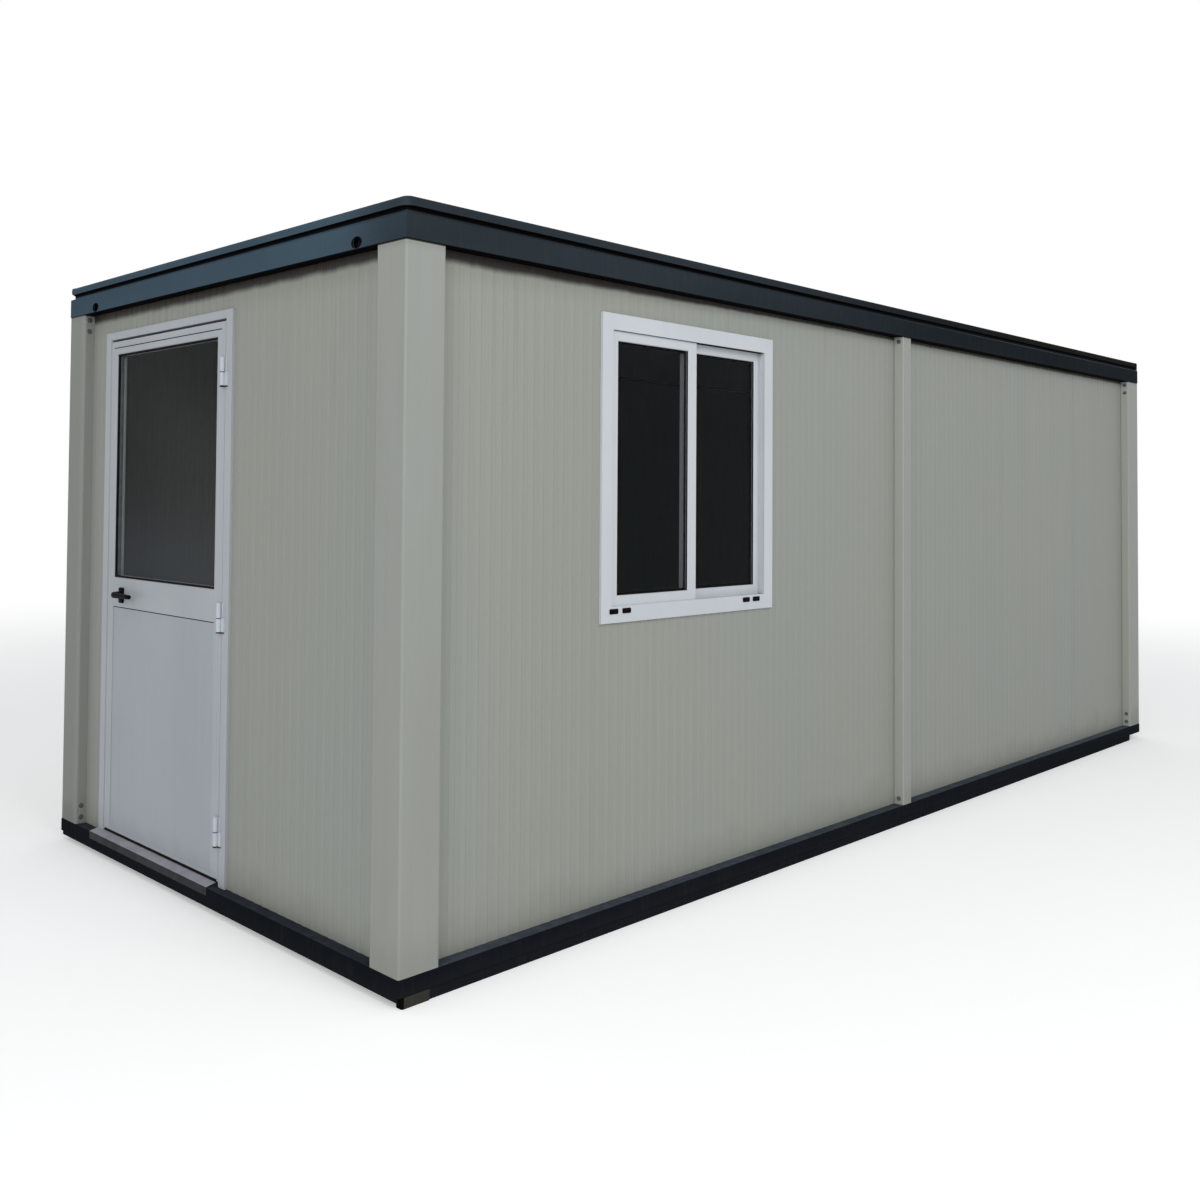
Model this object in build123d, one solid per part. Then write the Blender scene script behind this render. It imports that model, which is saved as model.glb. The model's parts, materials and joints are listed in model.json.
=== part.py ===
from build123d import *
import os

# Portable site cabin, millimetres, +Z up. The origin is the middle of the footprint on the ground.
# The door end faces -X, the long wall with the window faces -Y.

# Overall sizes
cabin_length = 6300
cabin_width = 2400
base_height = 92
post_height = 2252

# Base rails, runners and floor
rail_lip = 34            # underside of the rails above the ground
rail_foot = 60           # width of the bottom flange
rail_ledge = 110         # width of the top flange that carries walls and floor
rail_sheet = 4
rail_bend = 5
runner_width = 60
runner_wall = 4
runner_setback = 6       # behind the outer face of the long rails
runner_start = 126       # from the door end
runner_stop = 160        # from the rear end
foot_length = 110
foot_width = 32
foot_setback = 1
foot_corner = 8
joist_count = 5
joist_width = 50
joist_height = 84
joist_sheet = 3
floor_thickness = 20

# Posts
post_leg_side = 165      # face on the long walls
post_leg_end = 147       # face on the end walls
post_sheet = 3
post_bend = 9
centre_post_width = 78
centre_post_bend = 5

# Walls
wall_recess = 47         # outer face of the panels behind the outer face of the posts
panel_thickness = 50
panel_width = 1000
panel_joint_width = 3
panel_joint_depth = 4
first_panel_joint = 986  # from the end of the cabin
rib_pitch = 50
rib_flat = 22
rib_slope = 3
rib_depth = 1
rib_clear = 2            # the ribs stop this far from the edges of the posts

# Roof
fascia_height = 82
groove_depth = 14
groove_height = 14
groove_slope = 4
cap_height = 33
cap_bend = 18
cap_corner = 35          # radius of the cap's corners in plan
beam_bend = 4
beam_sheet = 3
beam_soffit = 110
cap_width = 100
gutter_drop = 42
gutter_ledge = 34
lifting_hole = 36
lifting_hole_height = 23
lifting_hole_inset = 253
roof_sheet_thickness = 1.5
roof_rib_height = 22
roof_rib_pitch = 333
roof_rib_top = 30
roof_rib_foot = 70
ceiling_thickness = 30
ceiling_edge = 30

# Door frame
door_from_corner = 1063  # hinge side of the frame from the corner with the long wall
door_width = 1044
door_top = 2156
door_recess = 37
door_face = 45
door_head_face = 32
door_flange = 15
door_stop = 18
door_gap = 6
door_head_gap = 10
seal_gap = 5
sill_height = 12
sill_sheet = 3
sill_lip = 28

# Door leaf
leaf_thickness = 42
leaf_bar = 56
leaf_step_width = 28
leaf_step_depth = 2
leaf_foot_bar = 20
middle_rail_foot = 976
middle_rail_height = 124
bead_slope = 3
glass_step = 12
glass_seat = 12
glass_edge = 10
door_glass_thickness = 16
door_panel_step = 3
door_panel_thickness = 25

# Hinges
hinge_radius = 9
hinge_pin_radius = 4
hinge_pin_clearance = 0.05
hinge_leaf_height = 55
hinge_frame_height = 52
hinge_play = 0.4
hinge_inset = 3          # axis inside the edge of the leaf
hinge_leaf_wing = 24
hinge_frame_wing = 26
hinge_wing_thickness = 4
hinge_heights = (1921, 997, 203)

# Lever handle
handle_from_corner = 1922
handle_height = 1031
handle_plate_width = 37
handle_plate_height = 65
handle_plate_thickness = 8
handle_plate_corner = 4
handle_plate_lift = -4
handle_reach = 44
handle_length = 160
handle_bend = 17
handle_radius = 11
handle_tip_radius = 9
handle_height_at_bend = 26
spindle_radius = 4
spindle_clearance = 0.05
spindle_hole = 8
handle_play = 0.4

# Window
window_width = 1092
window_height = 1133
window_from_corner = 955
window_sill = 1004
window_face = 60
window_flange = 15
window_lip = 8
track_depth = 30
track_width = 21
track_wall = 3
sash_bar = 50
sash_thickness = 20
sash_engagement = 12
sash_engagement_side = 22
sash_overlap = 49
pane_step = 6
pane_thickness = 8
pane_seat = 8
pane_edge = 7
drain_width = 47
drain_height = 19
drain_depth = 3
drain_rise = 42
drain_corner = 4
drain_from_left = (69, 141)
drain_from_right = (119, 190)

half_length = cabin_length / 2
half_width = cabin_width / 2
post_top = base_height + post_height
wall_inner = wall_recess + panel_thickness
groove_foot = post_top + fascia_height
cap_foot = groove_foot + 2 * groove_slope + groove_height
roof_top = cap_foot + cap_height
gutter = roof_top - gutter_drop
parts = {}

# The four sides seen from outside: x to the right, y up from the ledge, z out from the faces of the posts
front_view = Plane((0, -half_width, base_height), x_dir=(1, 0, 0), z_dir=(0, -1, 0))
back_view = Plane((0, half_width, base_height), x_dir=(-1, 0, 0), z_dir=(0, 1, 0))
door_view = Plane((-half_length, 0, base_height), x_dir=(0, -1, 0), z_dir=(-1, 0, 0))
rear_view = Plane((half_length, 0, base_height), x_dir=(0, 1, 0), z_dir=(1, 0, 0))

# The door in its view
door_right = half_width - door_from_corner
door_left = door_right - door_width
leaf_right = door_right - door_face - door_gap
leaf_left = door_left + door_face + door_gap
leaf_foot = sill_height + door_gap
leaf_top = door_top - door_head_face - door_head_gap
leaf_back = door_recess + leaf_thickness
hinge_x = leaf_right - hinge_inset
hinge_depth = door_recess - hinge_radius
handle_x = half_width - handle_from_corner


def block(x, y, z):
    """A box from three (low, high) pairs."""
    size = [high - low for low, high in (x, y, z)]
    middle = [(high + low) / 2 for low, high in (x, y, z)]
    return Pos(*middle) * Box(*size)


def profile(*points):
    return make_face(Polyline(*points, close=True))


def folded(points, radii, thickness):
    """The cut face of a sheet folded along points, with its thickness to the right of them."""
    path = FilletPolyline(*points, radius=radii)
    return make_face(offset(path, thickness, kind=Kind.INTERSECTION, side=Side.RIGHT))


def upright(section, low, high):
    """A bar standing from low to high in a view; the section is drawn across the view and inwards."""
    return Pos(0, low) * Rot(-90, 0, 0) * extrude(section, high - low)


def crosswise(section, left, right):
    """A bar lying from left to right in a view; the section is drawn up the view and inwards."""
    plane = Plane((right, 0, 0), x_dir=(0, 1, 0), z_dir=(-1, 0, 0))
    return extrude(plane * section, right - left)


def mitred(bar, outer_length, reach):
    """A bar along X with its outer edge on Y = 0, its ends cut at 45 degrees."""
    half = outer_length / 2
    outline = profile((-half, 0), (half, 0), (half - reach, reach), (reach - half, reach))
    tall = max(abs(bar.bounding_box().max.Z), abs(bar.bounding_box().min.Z)) + 1
    return bar & extrude(outline, tall, both=True)


def ring(width, depth, bar_of, reach):
    """Mitred bars round a rectangle, outer edges on its sides: bottom, right, top, left."""
    across = mitred(bar_of(width), width, reach)
    along = mitred(bar_of(depth), depth, reach)
    return [
        Pos(0, -depth / 2) * across,
        Pos(width / 2, 0) * Rot(0, 0, 90) * along,
        Pos(0, depth / 2) * Rot(0, 0, 180) * across,
        Pos(-width / 2, 0) * Rot(0, 0, -90) * along,
    ]


def frame_ring(left, right, foot, top, section, reach):
    """A mitred frame in a view, its four bars joined at the corners."""
    bars = ring(right - left, top - foot, lambda length: crosswise(section, -length / 2, length / 2), reach)
    joined = bars[0] + bars[1] + bars[2] + bars[3]
    return Pos((left + right) / 2, (foot + top) / 2) * joined


def keep(name, shape):
    parts[name] = shape


# ---- Base ----

def make_base():
    path = [(rail_foot, rail_lip), (0, rail_lip), (0, base_height), (rail_ledge, base_height)]
    section = folded(path, rail_bend, rail_sheet)
    names = ("front", "rear_end", "back", "door_end")
    bars = ring(cabin_length, cabin_width,
                lambda length: extrude(Plane.YZ * section, length / 2, both=True), rail_ledge)
    for name, bar in zip(names, bars):
        keep(f"base_rail_{name}", bar)

    start = runner_start - half_length
    stop = half_length - runner_stop
    outer = runner_setback - half_width
    inner = outer + runner_width
    runner = block((start, stop), (outer, inner), (0, rail_lip))
    runner -= block((start, stop), (outer + runner_wall, inner - runner_wall), (runner_wall, rail_lip - runner_wall))
    keep("base_runners", Compound([runner, mirror(runner, Plane.XZ)]))

    outer = foot_setback - half_width
    foot = block((start - foot_length, start), (outer, outer + foot_width), (0, rail_lip))
    foot = fillet(foot.edges().filter_by(Axis.Z).group_by(Axis.X)[0], foot_corner)
    keep("corner_foot", foot)


def make_floor():
    path = [(joist_width, -joist_height), (0, -joist_height), (0, 0), (joist_width, 0)]
    section = folded(path, 0, joist_sheet)
    joist = extrude(Plane.XZ * section, half_width - rail_ledge, both=True)
    step = (cabin_length - 2 * rail_ledge) / (joist_count + 1)
    first = rail_ledge - half_length + step - joist_width / 2
    keep("floor_joists", Compound([Pos(first + i * step, 0, base_height) * joist for i in range(joist_count)]))
    x = half_length - wall_inner
    y = half_width - wall_inner
    keep("floor_board", block((-x, x), (-y, y), (base_height, base_height + floor_thickness)))


# ---- Posts ----

def make_posts():
    path = [(post_leg_side, wall_recess), (post_leg_side, 0), (0, 0), (0, post_leg_end), (wall_recess, post_leg_end)]
    corner = extrude(folded(path, post_bend, post_sheet), post_height)
    corner = Pos(-half_length, -half_width, base_height) * corner
    keep("corner_post_door_front", corner)
    keep("corner_post_door_back", mirror(corner, Plane.XZ))
    keep("corner_post_rear_front", mirror(corner, Plane.YZ))
    keep("corner_post_rear_back", mirror(mirror(corner, Plane.XZ), Plane.YZ))

    half = centre_post_width / 2
    path = [(half, wall_recess), (half, 0), (-half, 0), (-half, wall_recess)]
    centre = extrude(folded(path, centre_post_bend, post_sheet), post_height)
    centre = Pos(0, -half_width, base_height) * centre
    keep("centre_post_front", centre)
    keep("centre_post_back", mirror(centre, Plane.XZ))


# ---- Walls ----

def ribbed_panel(low, high, joints, covered):
    """The cut face of wall panels side by side: x along the wall, y inwards from the outer face.

    The panels are plain in the covered spans, where the posts are seated on them."""
    points = [(low, 0)]
    phase = joints[0] + rib_pitch / 2
    width = rib_flat + 2 * rib_slope
    place = phase + rib_pitch * ((low - phase) // rib_pitch + 1)
    while place + rib_pitch < high:
        end = place + width
        if all(end < start - rib_clear or place > stop + rib_clear for start, stop in covered):
            points += [(place, 0), (place + rib_slope, rib_depth), (end - rib_slope, rib_depth), (end, 0)]
        place += rib_pitch
    points += [(high, 0), (high, panel_thickness), (low, panel_thickness)]
    face = profile(*points)
    for joint in joints:
        if low < joint < high:
            face -= Pos(joint, 0) * Rectangle(panel_joint_width, 2 * panel_joint_depth)
    return face


def wall_block(low, high, joints, foot=0, top=post_height):
    """Panels from low to high along a long side, in that side's view."""
    edge = half_length - post_leg_side
    middle = centre_post_width / 2
    covered = [(-half_length, -edge), (-middle, middle), (edge, half_length)]
    return Pos(0, 0, -wall_recess) * upright(ribbed_panel(low, high, joints, covered), foot, top)


def end_wall_block(low, high, joints, foot=0):
    """Panels from low to high along an end, in that end's view."""
    edge = half_width - post_leg_end
    covered = [(-half_width, -edge), (edge, half_width)]
    return Pos(0, 0, -wall_recess) * upright(ribbed_panel(low, high, joints, covered), foot, post_height)


def make_walls():
    edge = half_length - wall_recess - post_sheet
    first = half_length - first_panel_joint
    joints = [-first, panel_width - first, first - panel_width, first]
    left = window_from_corner - half_length + window_flange
    right = left + window_width - 2 * window_flange
    sill = window_sill + window_flange
    head = window_sill + window_height - window_flange
    hole = block((left, right), (sill, head), (-2 * wall_inner, 0))
    keep("front_wall_door_end", front_view * (wall_block(-edge, joints[0], joints) - hole))
    keep("front_wall_below_window", front_view * wall_block(joints[0], joints[1], joints, top=sill))
    keep("front_wall_above_window", front_view * wall_block(joints[0], joints[1], joints, foot=head))
    keep("front_wall_centre", front_view * (wall_block(joints[1], 0, joints) - hole))
    keep("front_wall_right", front_view * wall_block(0, edge, joints))
    keep("back_wall_left", back_view * wall_block(-edge, 0, joints))
    keep("back_wall_right", back_view * wall_block(0, edge, joints))

    side = half_width - wall_inner
    keep("rear_wall", rear_view * end_wall_block(-side, side, [-panel_width / 2, panel_width / 2]))
    low = door_left + door_flange
    high = door_right - door_flange
    keep("door_wall_hinge_side", door_view * end_wall_block(high, side, [high]))
    keep("door_wall_lock_side", door_view * end_wall_block(-side, low, [high]))
    keep("door_wall_over_door", door_view * end_wall_block(low, high, [high], foot=door_top - door_flange))


# ---- Roof ----

def beam_section():
    path = [(beam_soffit, post_top), (0, post_top), (0, groove_foot), (groove_depth, groove_foot + groove_slope),
            (groove_depth, cap_foot - groove_slope), (0, cap_foot), (0, roof_top), (cap_width, roof_top),
            (cap_width, gutter), (cap_width + gutter_ledge, gutter)]
    radii = (beam_bend, beam_bend, 0, 0, 0, cap_bend, 0, 0)
    return folded(path, radii, beam_sheet)


def lifting_holes(x):
    drill = Rot(0, 90, 0) * Cylinder(lifting_hole / 2, 2 * groove_depth)
    y = half_width - lifting_hole_inset
    return [Pos(x, side * y, post_top + lifting_hole_height) * drill for side in (-1, 1)]


def at_corners(shape):
    """A shape made for the corner of the door end and the front, and its mirror images at the others."""
    ends = [shape, mirror(shape, Plane.YZ)]
    return ends + [mirror(end, Plane.XZ) for end in ends]


def cap_block():
    """The rounded block that closes the cap at a corner."""
    outline = FilletPolyline((cap_corner, cap_foot), (0, cap_foot), (0, roof_top), (cap_corner, roof_top),
                             close=True, radius=(0, 0, cap_bend, 0))
    block = revolve(Plane.YZ * make_face(outline), Axis((0, cap_corner, 0), (0, 0, -1)), 90)
    return Pos(cap_corner - half_length, -half_width) * block


def cap_cut():
    """What the beams lose for that block, down to the upper slope of the groove."""
    low = cap_foot - groove_slope
    corner = (-half_length, cap_corner - half_length), (-half_width, cap_corner - half_width)
    disc = Pos(cap_corner - half_length, cap_corner - half_width, low)
    disc *= Cylinder(cap_corner, groove_slope, align=(Align.CENTER, Align.CENTER, Align.MIN))
    return block(*corner, (low, roof_top)) - disc


def make_roof():
    section = beam_section()
    beams = ring(cabin_length, cabin_width, lambda length: extrude(Plane.YZ * section, length / 2, both=True),
                 cap_width + gutter_ledge)
    cuts = at_corners(cap_cut())
    front, rear_end, back, door_end = [beam - cuts for beam in beams]
    blocks = at_corners(cap_block())
    keep("roof_beam_front", front + blocks[0] + blocks[1])
    keep("roof_beam_back", back + blocks[2] + blocks[3])
    keep("roof_beam_door_end", door_end - lifting_holes(-half_length))
    keep("roof_beam_rear_end", rear_end - lifting_holes(half_length))

    edge = cap_width + beam_bend + 1
    half = half_length - edge
    count = int((2 * half - roof_rib_foot) // roof_rib_pitch)
    points = [(-half, 0)]
    for i in range(count):
        place = (i - (count - 1) / 2) * roof_rib_pitch
        points += [(place - roof_rib_foot / 2, 0), (place - roof_rib_top / 2, roof_rib_height),
                   (place + roof_rib_top / 2, roof_rib_height), (place + roof_rib_foot / 2, 0)]
    points.append((half, 0))
    upper = [(x, z + roof_sheet_thickness) for x, z in reversed(points)]
    sheet = extrude(Plane.XZ * profile(*points, *upper), half_width - edge, both=True)
    keep("roof_sheet", Pos(0, 0, gutter) * sheet)

    x = half_length - ceiling_edge
    y = half_width - ceiling_edge
    low = post_top + beam_sheet
    keep("ceiling", block((-x, x), (-y, y), (low, low + ceiling_thickness)))


# ---- Door ----

def rebate(face_width):
    """Half of a door frame: the face over the panel's edge, the body in the wall and the stop behind the leaf."""
    stop = leaf_back + seal_gap
    return profile((0, door_recess), (face_width, door_recess), (face_width, stop), (face_width + door_stop, stop),
                   (face_width + door_stop, wall_inner), (door_flange, wall_inner), (door_flange, wall_recess),
                   (0, wall_recess))


def door_jamb(foot):
    notch = block((0, door_face + door_stop), (door_top - door_flange, door_top), (-wall_inner, -wall_recess))
    return upright(rebate(door_face), foot, door_top) - notch


def make_door_frame():
    lock_jamb = Pos(door_left, 0) * door_jamb(sill_height)
    hinge_jamb = Pos(door_right, 0) * mirror(door_jamb(0), Plane.YZ)
    head = crosswise(mirror(rebate(door_head_face), Plane.YZ), door_left + door_face, door_right - door_face)
    head = Pos(0, door_top) * head - lock_jamb - hinge_jamb
    keep("door_jamb_lock_side", door_view * lock_jamb)
    keep("door_jamb_hinge_side", door_view * hinge_jamb)
    keep("door_head", door_view * head)
    sill = profile((-sill_lip, -sill_sheet), (sill_sheet, -sill_sheet), (sill_height, door_recess),
                   (sill_height, wall_inner), (0, wall_inner), (0, 0), (-sill_lip, 0))
    sill = crosswise(sill, door_left, door_right - door_face - door_stop)
    sill -= block((door_left, door_left + door_flange), (0, sill_height), (-wall_inner, -wall_recess))
    keep("door_sill", door_view * sill)


def leaf_profile():
    """A stile or rail of the leaf, from its outer edge: stepped face, bead slope, glazing groove, back."""
    face = door_recess
    glass = face + glass_step
    back = glass + door_glass_thickness
    return profile((0, face + leaf_step_depth), (leaf_step_width, face + leaf_step_depth),
                   (leaf_step_width + leaf_step_depth, face), (leaf_bar - bead_slope, face),
                   (leaf_bar, face + bead_slope), (leaf_bar, glass), (leaf_bar - glass_seat, glass),
                   (leaf_bar - glass_seat, back), (leaf_bar, back), (leaf_bar, leaf_back), (0, leaf_back))


def middle_rail():
    face = door_recess
    glass = face + glass_step
    back = glass + door_glass_thickness
    panel = face + door_panel_step
    panel_back = panel + door_panel_thickness
    foot = middle_rail_foot
    top = foot + middle_rail_height
    section = profile((foot, panel), (foot, face + 1), (foot + 1, face), (top - bead_slope, face),
                      (top, face + bead_slope), (top, glass), (top - glass_seat, glass), (top - glass_seat, back),
                      (top, back), (top, leaf_back), (foot, leaf_back), (foot, panel_back),
                      (foot + glass_seat, panel_back), (foot + glass_seat, panel))
    return crosswise(section, leaf_left + leaf_bar - bead_slope, leaf_right - leaf_bar + bead_slope)


def make_door_leaf():
    frame = frame_ring(leaf_left, leaf_right, leaf_foot, leaf_top, leaf_profile(), leaf_bar)
    panel_low = door_recess + door_panel_step
    panel_back = panel_low + door_panel_thickness
    panel_left = leaf_left + leaf_bar - glass_edge
    panel_right = leaf_right - leaf_bar + glass_edge
    panel_foot = leaf_foot + leaf_foot_bar
    bead = leaf_bar - bead_slope
    pocket = block((panel_left - 2, panel_right + 2), (panel_foot, middle_rail_foot + glass_seat),
                   (-panel_back, -panel_low))
    opening = block((leaf_left + bead, leaf_right - bead), (panel_foot, middle_rail_foot),
                    (-leaf_back, -door_recess))
    frame = frame - opening - pocket + middle_rail()
    through = Pos(handle_x, handle_height, -door_recess) * Cylinder(spindle_hole, 4 * leaf_thickness)
    keep("door_leaf_frame", door_view * (frame - through))
    panel = block((panel_left, panel_right), (panel_foot, middle_rail_foot + glass_edge),
                  (-panel_back, -panel_low))
    keep("door_leaf_panel", door_view * panel)
    low = middle_rail_foot + middle_rail_height - glass_edge
    high = leaf_top - leaf_bar + glass_edge
    glass = block((panel_left, panel_right), (low, high),
                  (-door_recess - glass_step - door_glass_thickness, -door_recess - glass_step))
    keep("door_glass", door_view * glass)


def barrel(wing_edge, wing_back, low, high):
    """A hinge half: barrel round the axis and the wing that lies on the frame or the leaf."""
    front = wing_back - hinge_wing_thickness
    left, right = sorted((0, wing_edge))
    wing = Pos((left + right) / 2, (front + wing_back) / 2) * Rectangle(right - left, hinge_wing_thickness)
    section = wing + Pos(0, hinge_depth) * Circle(hinge_radius)
    return Pos(hinge_x, 0) * upright(section, low, high)


def pin_hole(radius, low, high):
    return Pos(hinge_x, 0) * upright(Pos(0, hinge_depth) * Circle(radius), low, high)


def make_hinges():
    frame_halves = []
    leaf_halves = []
    for split in hinge_heights:
        top = split + hinge_leaf_height
        frame_half = barrel(hinge_frame_wing, door_recess, split - hinge_frame_height, split)
        frame_half += pin_hole(hinge_pin_radius, split - 1, top - hinge_wing_thickness)
        leaf_half = barrel(-hinge_leaf_wing, door_recess + leaf_step_depth, split + hinge_play, top)
        leaf_half -= pin_hole(hinge_pin_radius + hinge_pin_clearance, split, top - hinge_wing_thickness + hinge_play)
        frame_halves.append(door_view * frame_half)
        leaf_halves.append(door_view * leaf_half)
    keep("door_hinge_frame_halves", Compound(frame_halves))
    keep("door_hinge_leaf_halves", Compound(leaf_halves))


def handle_plate():
    outline = Rectangle(handle_plate_width, handle_plate_height)
    plate = Pos(0, handle_plate_lift) * chamfer(outline.vertices(), handle_plate_corner)
    return extrude(plate - Circle(spindle_radius + spindle_clearance), handle_plate_thickness)


def lever_arm():
    """Half of the lever: neck straight out from the plate, bend, tapering arm towards the hinges."""
    side = handle_radius
    tip = handle_tip_radius
    start = handle_plate_thickness + handle_play
    front = handle_reach + side
    plan = FilletPolyline((-side, start), (-side, front), (handle_length, front), (handle_length, front - 2 * tip),
                          (side, handle_reach - side), (side, start), close=True,
                          radius=(0, handle_bend + side, tip - 1, tip - 1, handle_bend - side, 0))
    arm = extrude(Plane.XZ * make_face(plan), handle_height_at_bend / 2, both=True)
    high = handle_height_at_bend / 2
    taper = profile((-side, -high), (-side, high), (handle_bend, high), (handle_length, tip), (handle_length, -tip),
                    (handle_bend, -high))
    return arm & extrude(taper, front)


def make_handle():
    face = Pos(handle_x, handle_height, -door_recess)
    back = Pos(handle_x, handle_height, -leaf_back) * Rot(180, 0, 0)
    plate = handle_plate()
    inner_plate = mirror(plate, Plane.XZ)
    keep("door_handle_plates", Compound([door_view * face * plate, door_view * back * inner_plate]))
    reach = handle_plate_thickness + 2
    spindle = Pos(0, 0, reach) * Cylinder(spindle_radius, leaf_thickness + 2 * reach,
                                          align=(Align.CENTER, Align.CENTER, Align.MAX))
    lever = face * (lever_arm() + spindle) + back * lever_arm()
    keep("door_lever", door_view * lever)


# ---- Window ----

def window_profile():
    """The window frame: face, flange over the panel's edge, body in the wall and two tracks for the sashes."""
    face = door_recess
    outer = face + window_lip
    second = outer + track_width + track_wall
    floor = window_face - track_depth
    return profile((0, face), (window_face, face), (window_face, outer), (floor, outer),
                   (floor, outer + track_width), (window_face, outer + track_width), (window_face, second),
                   (floor, second), (floor, second + track_width), (window_face, second + track_width),
                   (window_face, wall_inner), (window_flange, wall_inner), (window_flange, wall_recess),
                   (0, wall_recess))


def sash_profile(front):
    glass = front + pane_step
    back = glass + pane_thickness
    bar = sash_bar
    return profile((0, front), (bar - bead_slope, front), (bar, front + bead_slope), (bar, glass),
                   (bar - pane_seat, glass), (bar - pane_seat, back), (bar, back), (bar, front + sash_thickness),
                   (0, front + sash_thickness))


def make_window():
    left = window_from_corner - half_length
    right = left + window_width
    top = window_sill + window_height
    keep("window_frame", front_view * frame_ring(left, right, window_sill, top, window_profile(), window_face))

    foot = window_sill + window_face - sash_engagement
    head = top - window_face + sash_engagement
    sash_left = left + window_face - sash_engagement
    sash_right = right - window_face + sash_engagement_side
    middle = (left + right) / 2
    play = (track_width - sash_thickness) / 2
    outer_front = door_recess + window_lip + play
    inner_front = outer_front + track_width + track_wall
    spans = {"outer": (sash_left, middle + sash_overlap / 2, outer_front),
             "inner": (middle - sash_overlap / 2, sash_right, inner_front)}
    for name, (low, high, front) in spans.items():
        sash = frame_ring(low, high, foot, head, sash_profile(front), sash_bar)
        keep(f"window_sash_{name}", front_view * sash)
        inset = sash_bar - pane_edge
        pane = block((low + inset, high - inset), (foot + inset, head - inset),
                     (-front - pane_step - pane_thickness, -front - pane_step))
        keep(f"window_pane_{name}", front_view * pane)
    outline = Rectangle(drain_width, drain_height)
    cover = extrude(chamfer(outline.vertices(), drain_corner), drain_depth)
    places = [left + place for place in drain_from_left] + [right - place for place in drain_from_right]
    covers = [front_view * Pos(place, window_sill + drain_rise, -door_recess) * cover for place in places]
    keep("window_drain_covers", Compound(covers))


def make_all():
    make_base()
    make_floor()
    make_posts()
    make_walls()
    make_roof()
    make_door_frame()
    make_door_leaf()
    make_hinges()
    make_handle()
    make_window()
    os.makedirs("parts", exist_ok=True)
    for name, shape in parts.items():
        export_step(shape, f"parts/{name}.step")


make_all()
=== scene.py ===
import json
import math

import bmesh
import bpy
from mathutils import Matrix, Vector


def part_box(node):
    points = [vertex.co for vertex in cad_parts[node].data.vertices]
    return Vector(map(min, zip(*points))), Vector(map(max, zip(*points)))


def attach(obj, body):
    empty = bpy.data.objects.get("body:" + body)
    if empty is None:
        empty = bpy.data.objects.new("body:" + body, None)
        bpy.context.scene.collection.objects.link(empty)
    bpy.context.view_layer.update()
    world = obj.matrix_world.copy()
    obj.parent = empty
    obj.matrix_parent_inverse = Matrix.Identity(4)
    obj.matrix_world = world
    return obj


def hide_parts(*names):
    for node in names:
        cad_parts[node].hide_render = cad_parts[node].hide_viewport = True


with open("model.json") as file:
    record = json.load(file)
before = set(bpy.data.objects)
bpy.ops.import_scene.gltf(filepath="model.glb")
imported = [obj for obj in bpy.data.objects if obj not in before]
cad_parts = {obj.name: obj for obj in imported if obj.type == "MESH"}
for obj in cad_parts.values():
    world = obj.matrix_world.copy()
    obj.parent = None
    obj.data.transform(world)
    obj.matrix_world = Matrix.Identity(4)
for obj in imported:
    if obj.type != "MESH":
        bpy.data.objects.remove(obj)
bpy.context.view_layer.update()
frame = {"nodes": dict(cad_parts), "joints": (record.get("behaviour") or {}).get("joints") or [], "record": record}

bl_info = {
    "name": "Site cabin finishes",
    "version": (1, 0, 0),
    "blender": (4, 5, 0),
    "location": "3D View > Sidebar > Site cabin",
    "description": "Finishes, seals, screws and handle of a portable site cabin, and its studio",
    "category": "Object",
}

CABIN = "cabin"
DOOR = "door"
LEVER = "lever"
MM = 0.001

# How two sides are seen from outside: across, up, and out of the wall. PLAN leaves a shape as it was made.
FRONT = Matrix(((1, 0, 0), (0, 0, -1), (0, 1, 0)))
DOOR_END = Matrix(((0, 0, -1), (-1, 0, 0), (0, 1, 0)))
PLAN = Matrix.Identity(3)

RIB_PITCH = 50 * MM
FIRST_JOINT = 164 * MM  # from the middle of a long wall to the next joint between its panels
HOLE_RADIUS = 18 * MM
PAINT_IOR = 1.35


# ---- Sizes and colours ----

def length(name, text, default):
    return bpy.props.FloatProperty(name=name, description=text, default=default, min=0.0, unit="LENGTH")


def angle(name, text, degrees):
    radians = math.radians(degrees)
    return bpy.props.FloatProperty(name=name, description=text, default=radians, subtype="ANGLE")


def share(name, text, default):
    return bpy.props.FloatProperty(name=name, description=text, default=default, min=0.0, max=1.0,
                                   subtype="FACTOR")


def amount(name, text, default):
    return bpy.props.FloatProperty(name=name, description=text, default=default, min=0.0)


def colour(name, text, *default):
    return bpy.props.FloatVectorProperty(name=name, description=text, default=default, min=0.0, max=1.0,
                                         subtype="COLOR")


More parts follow.
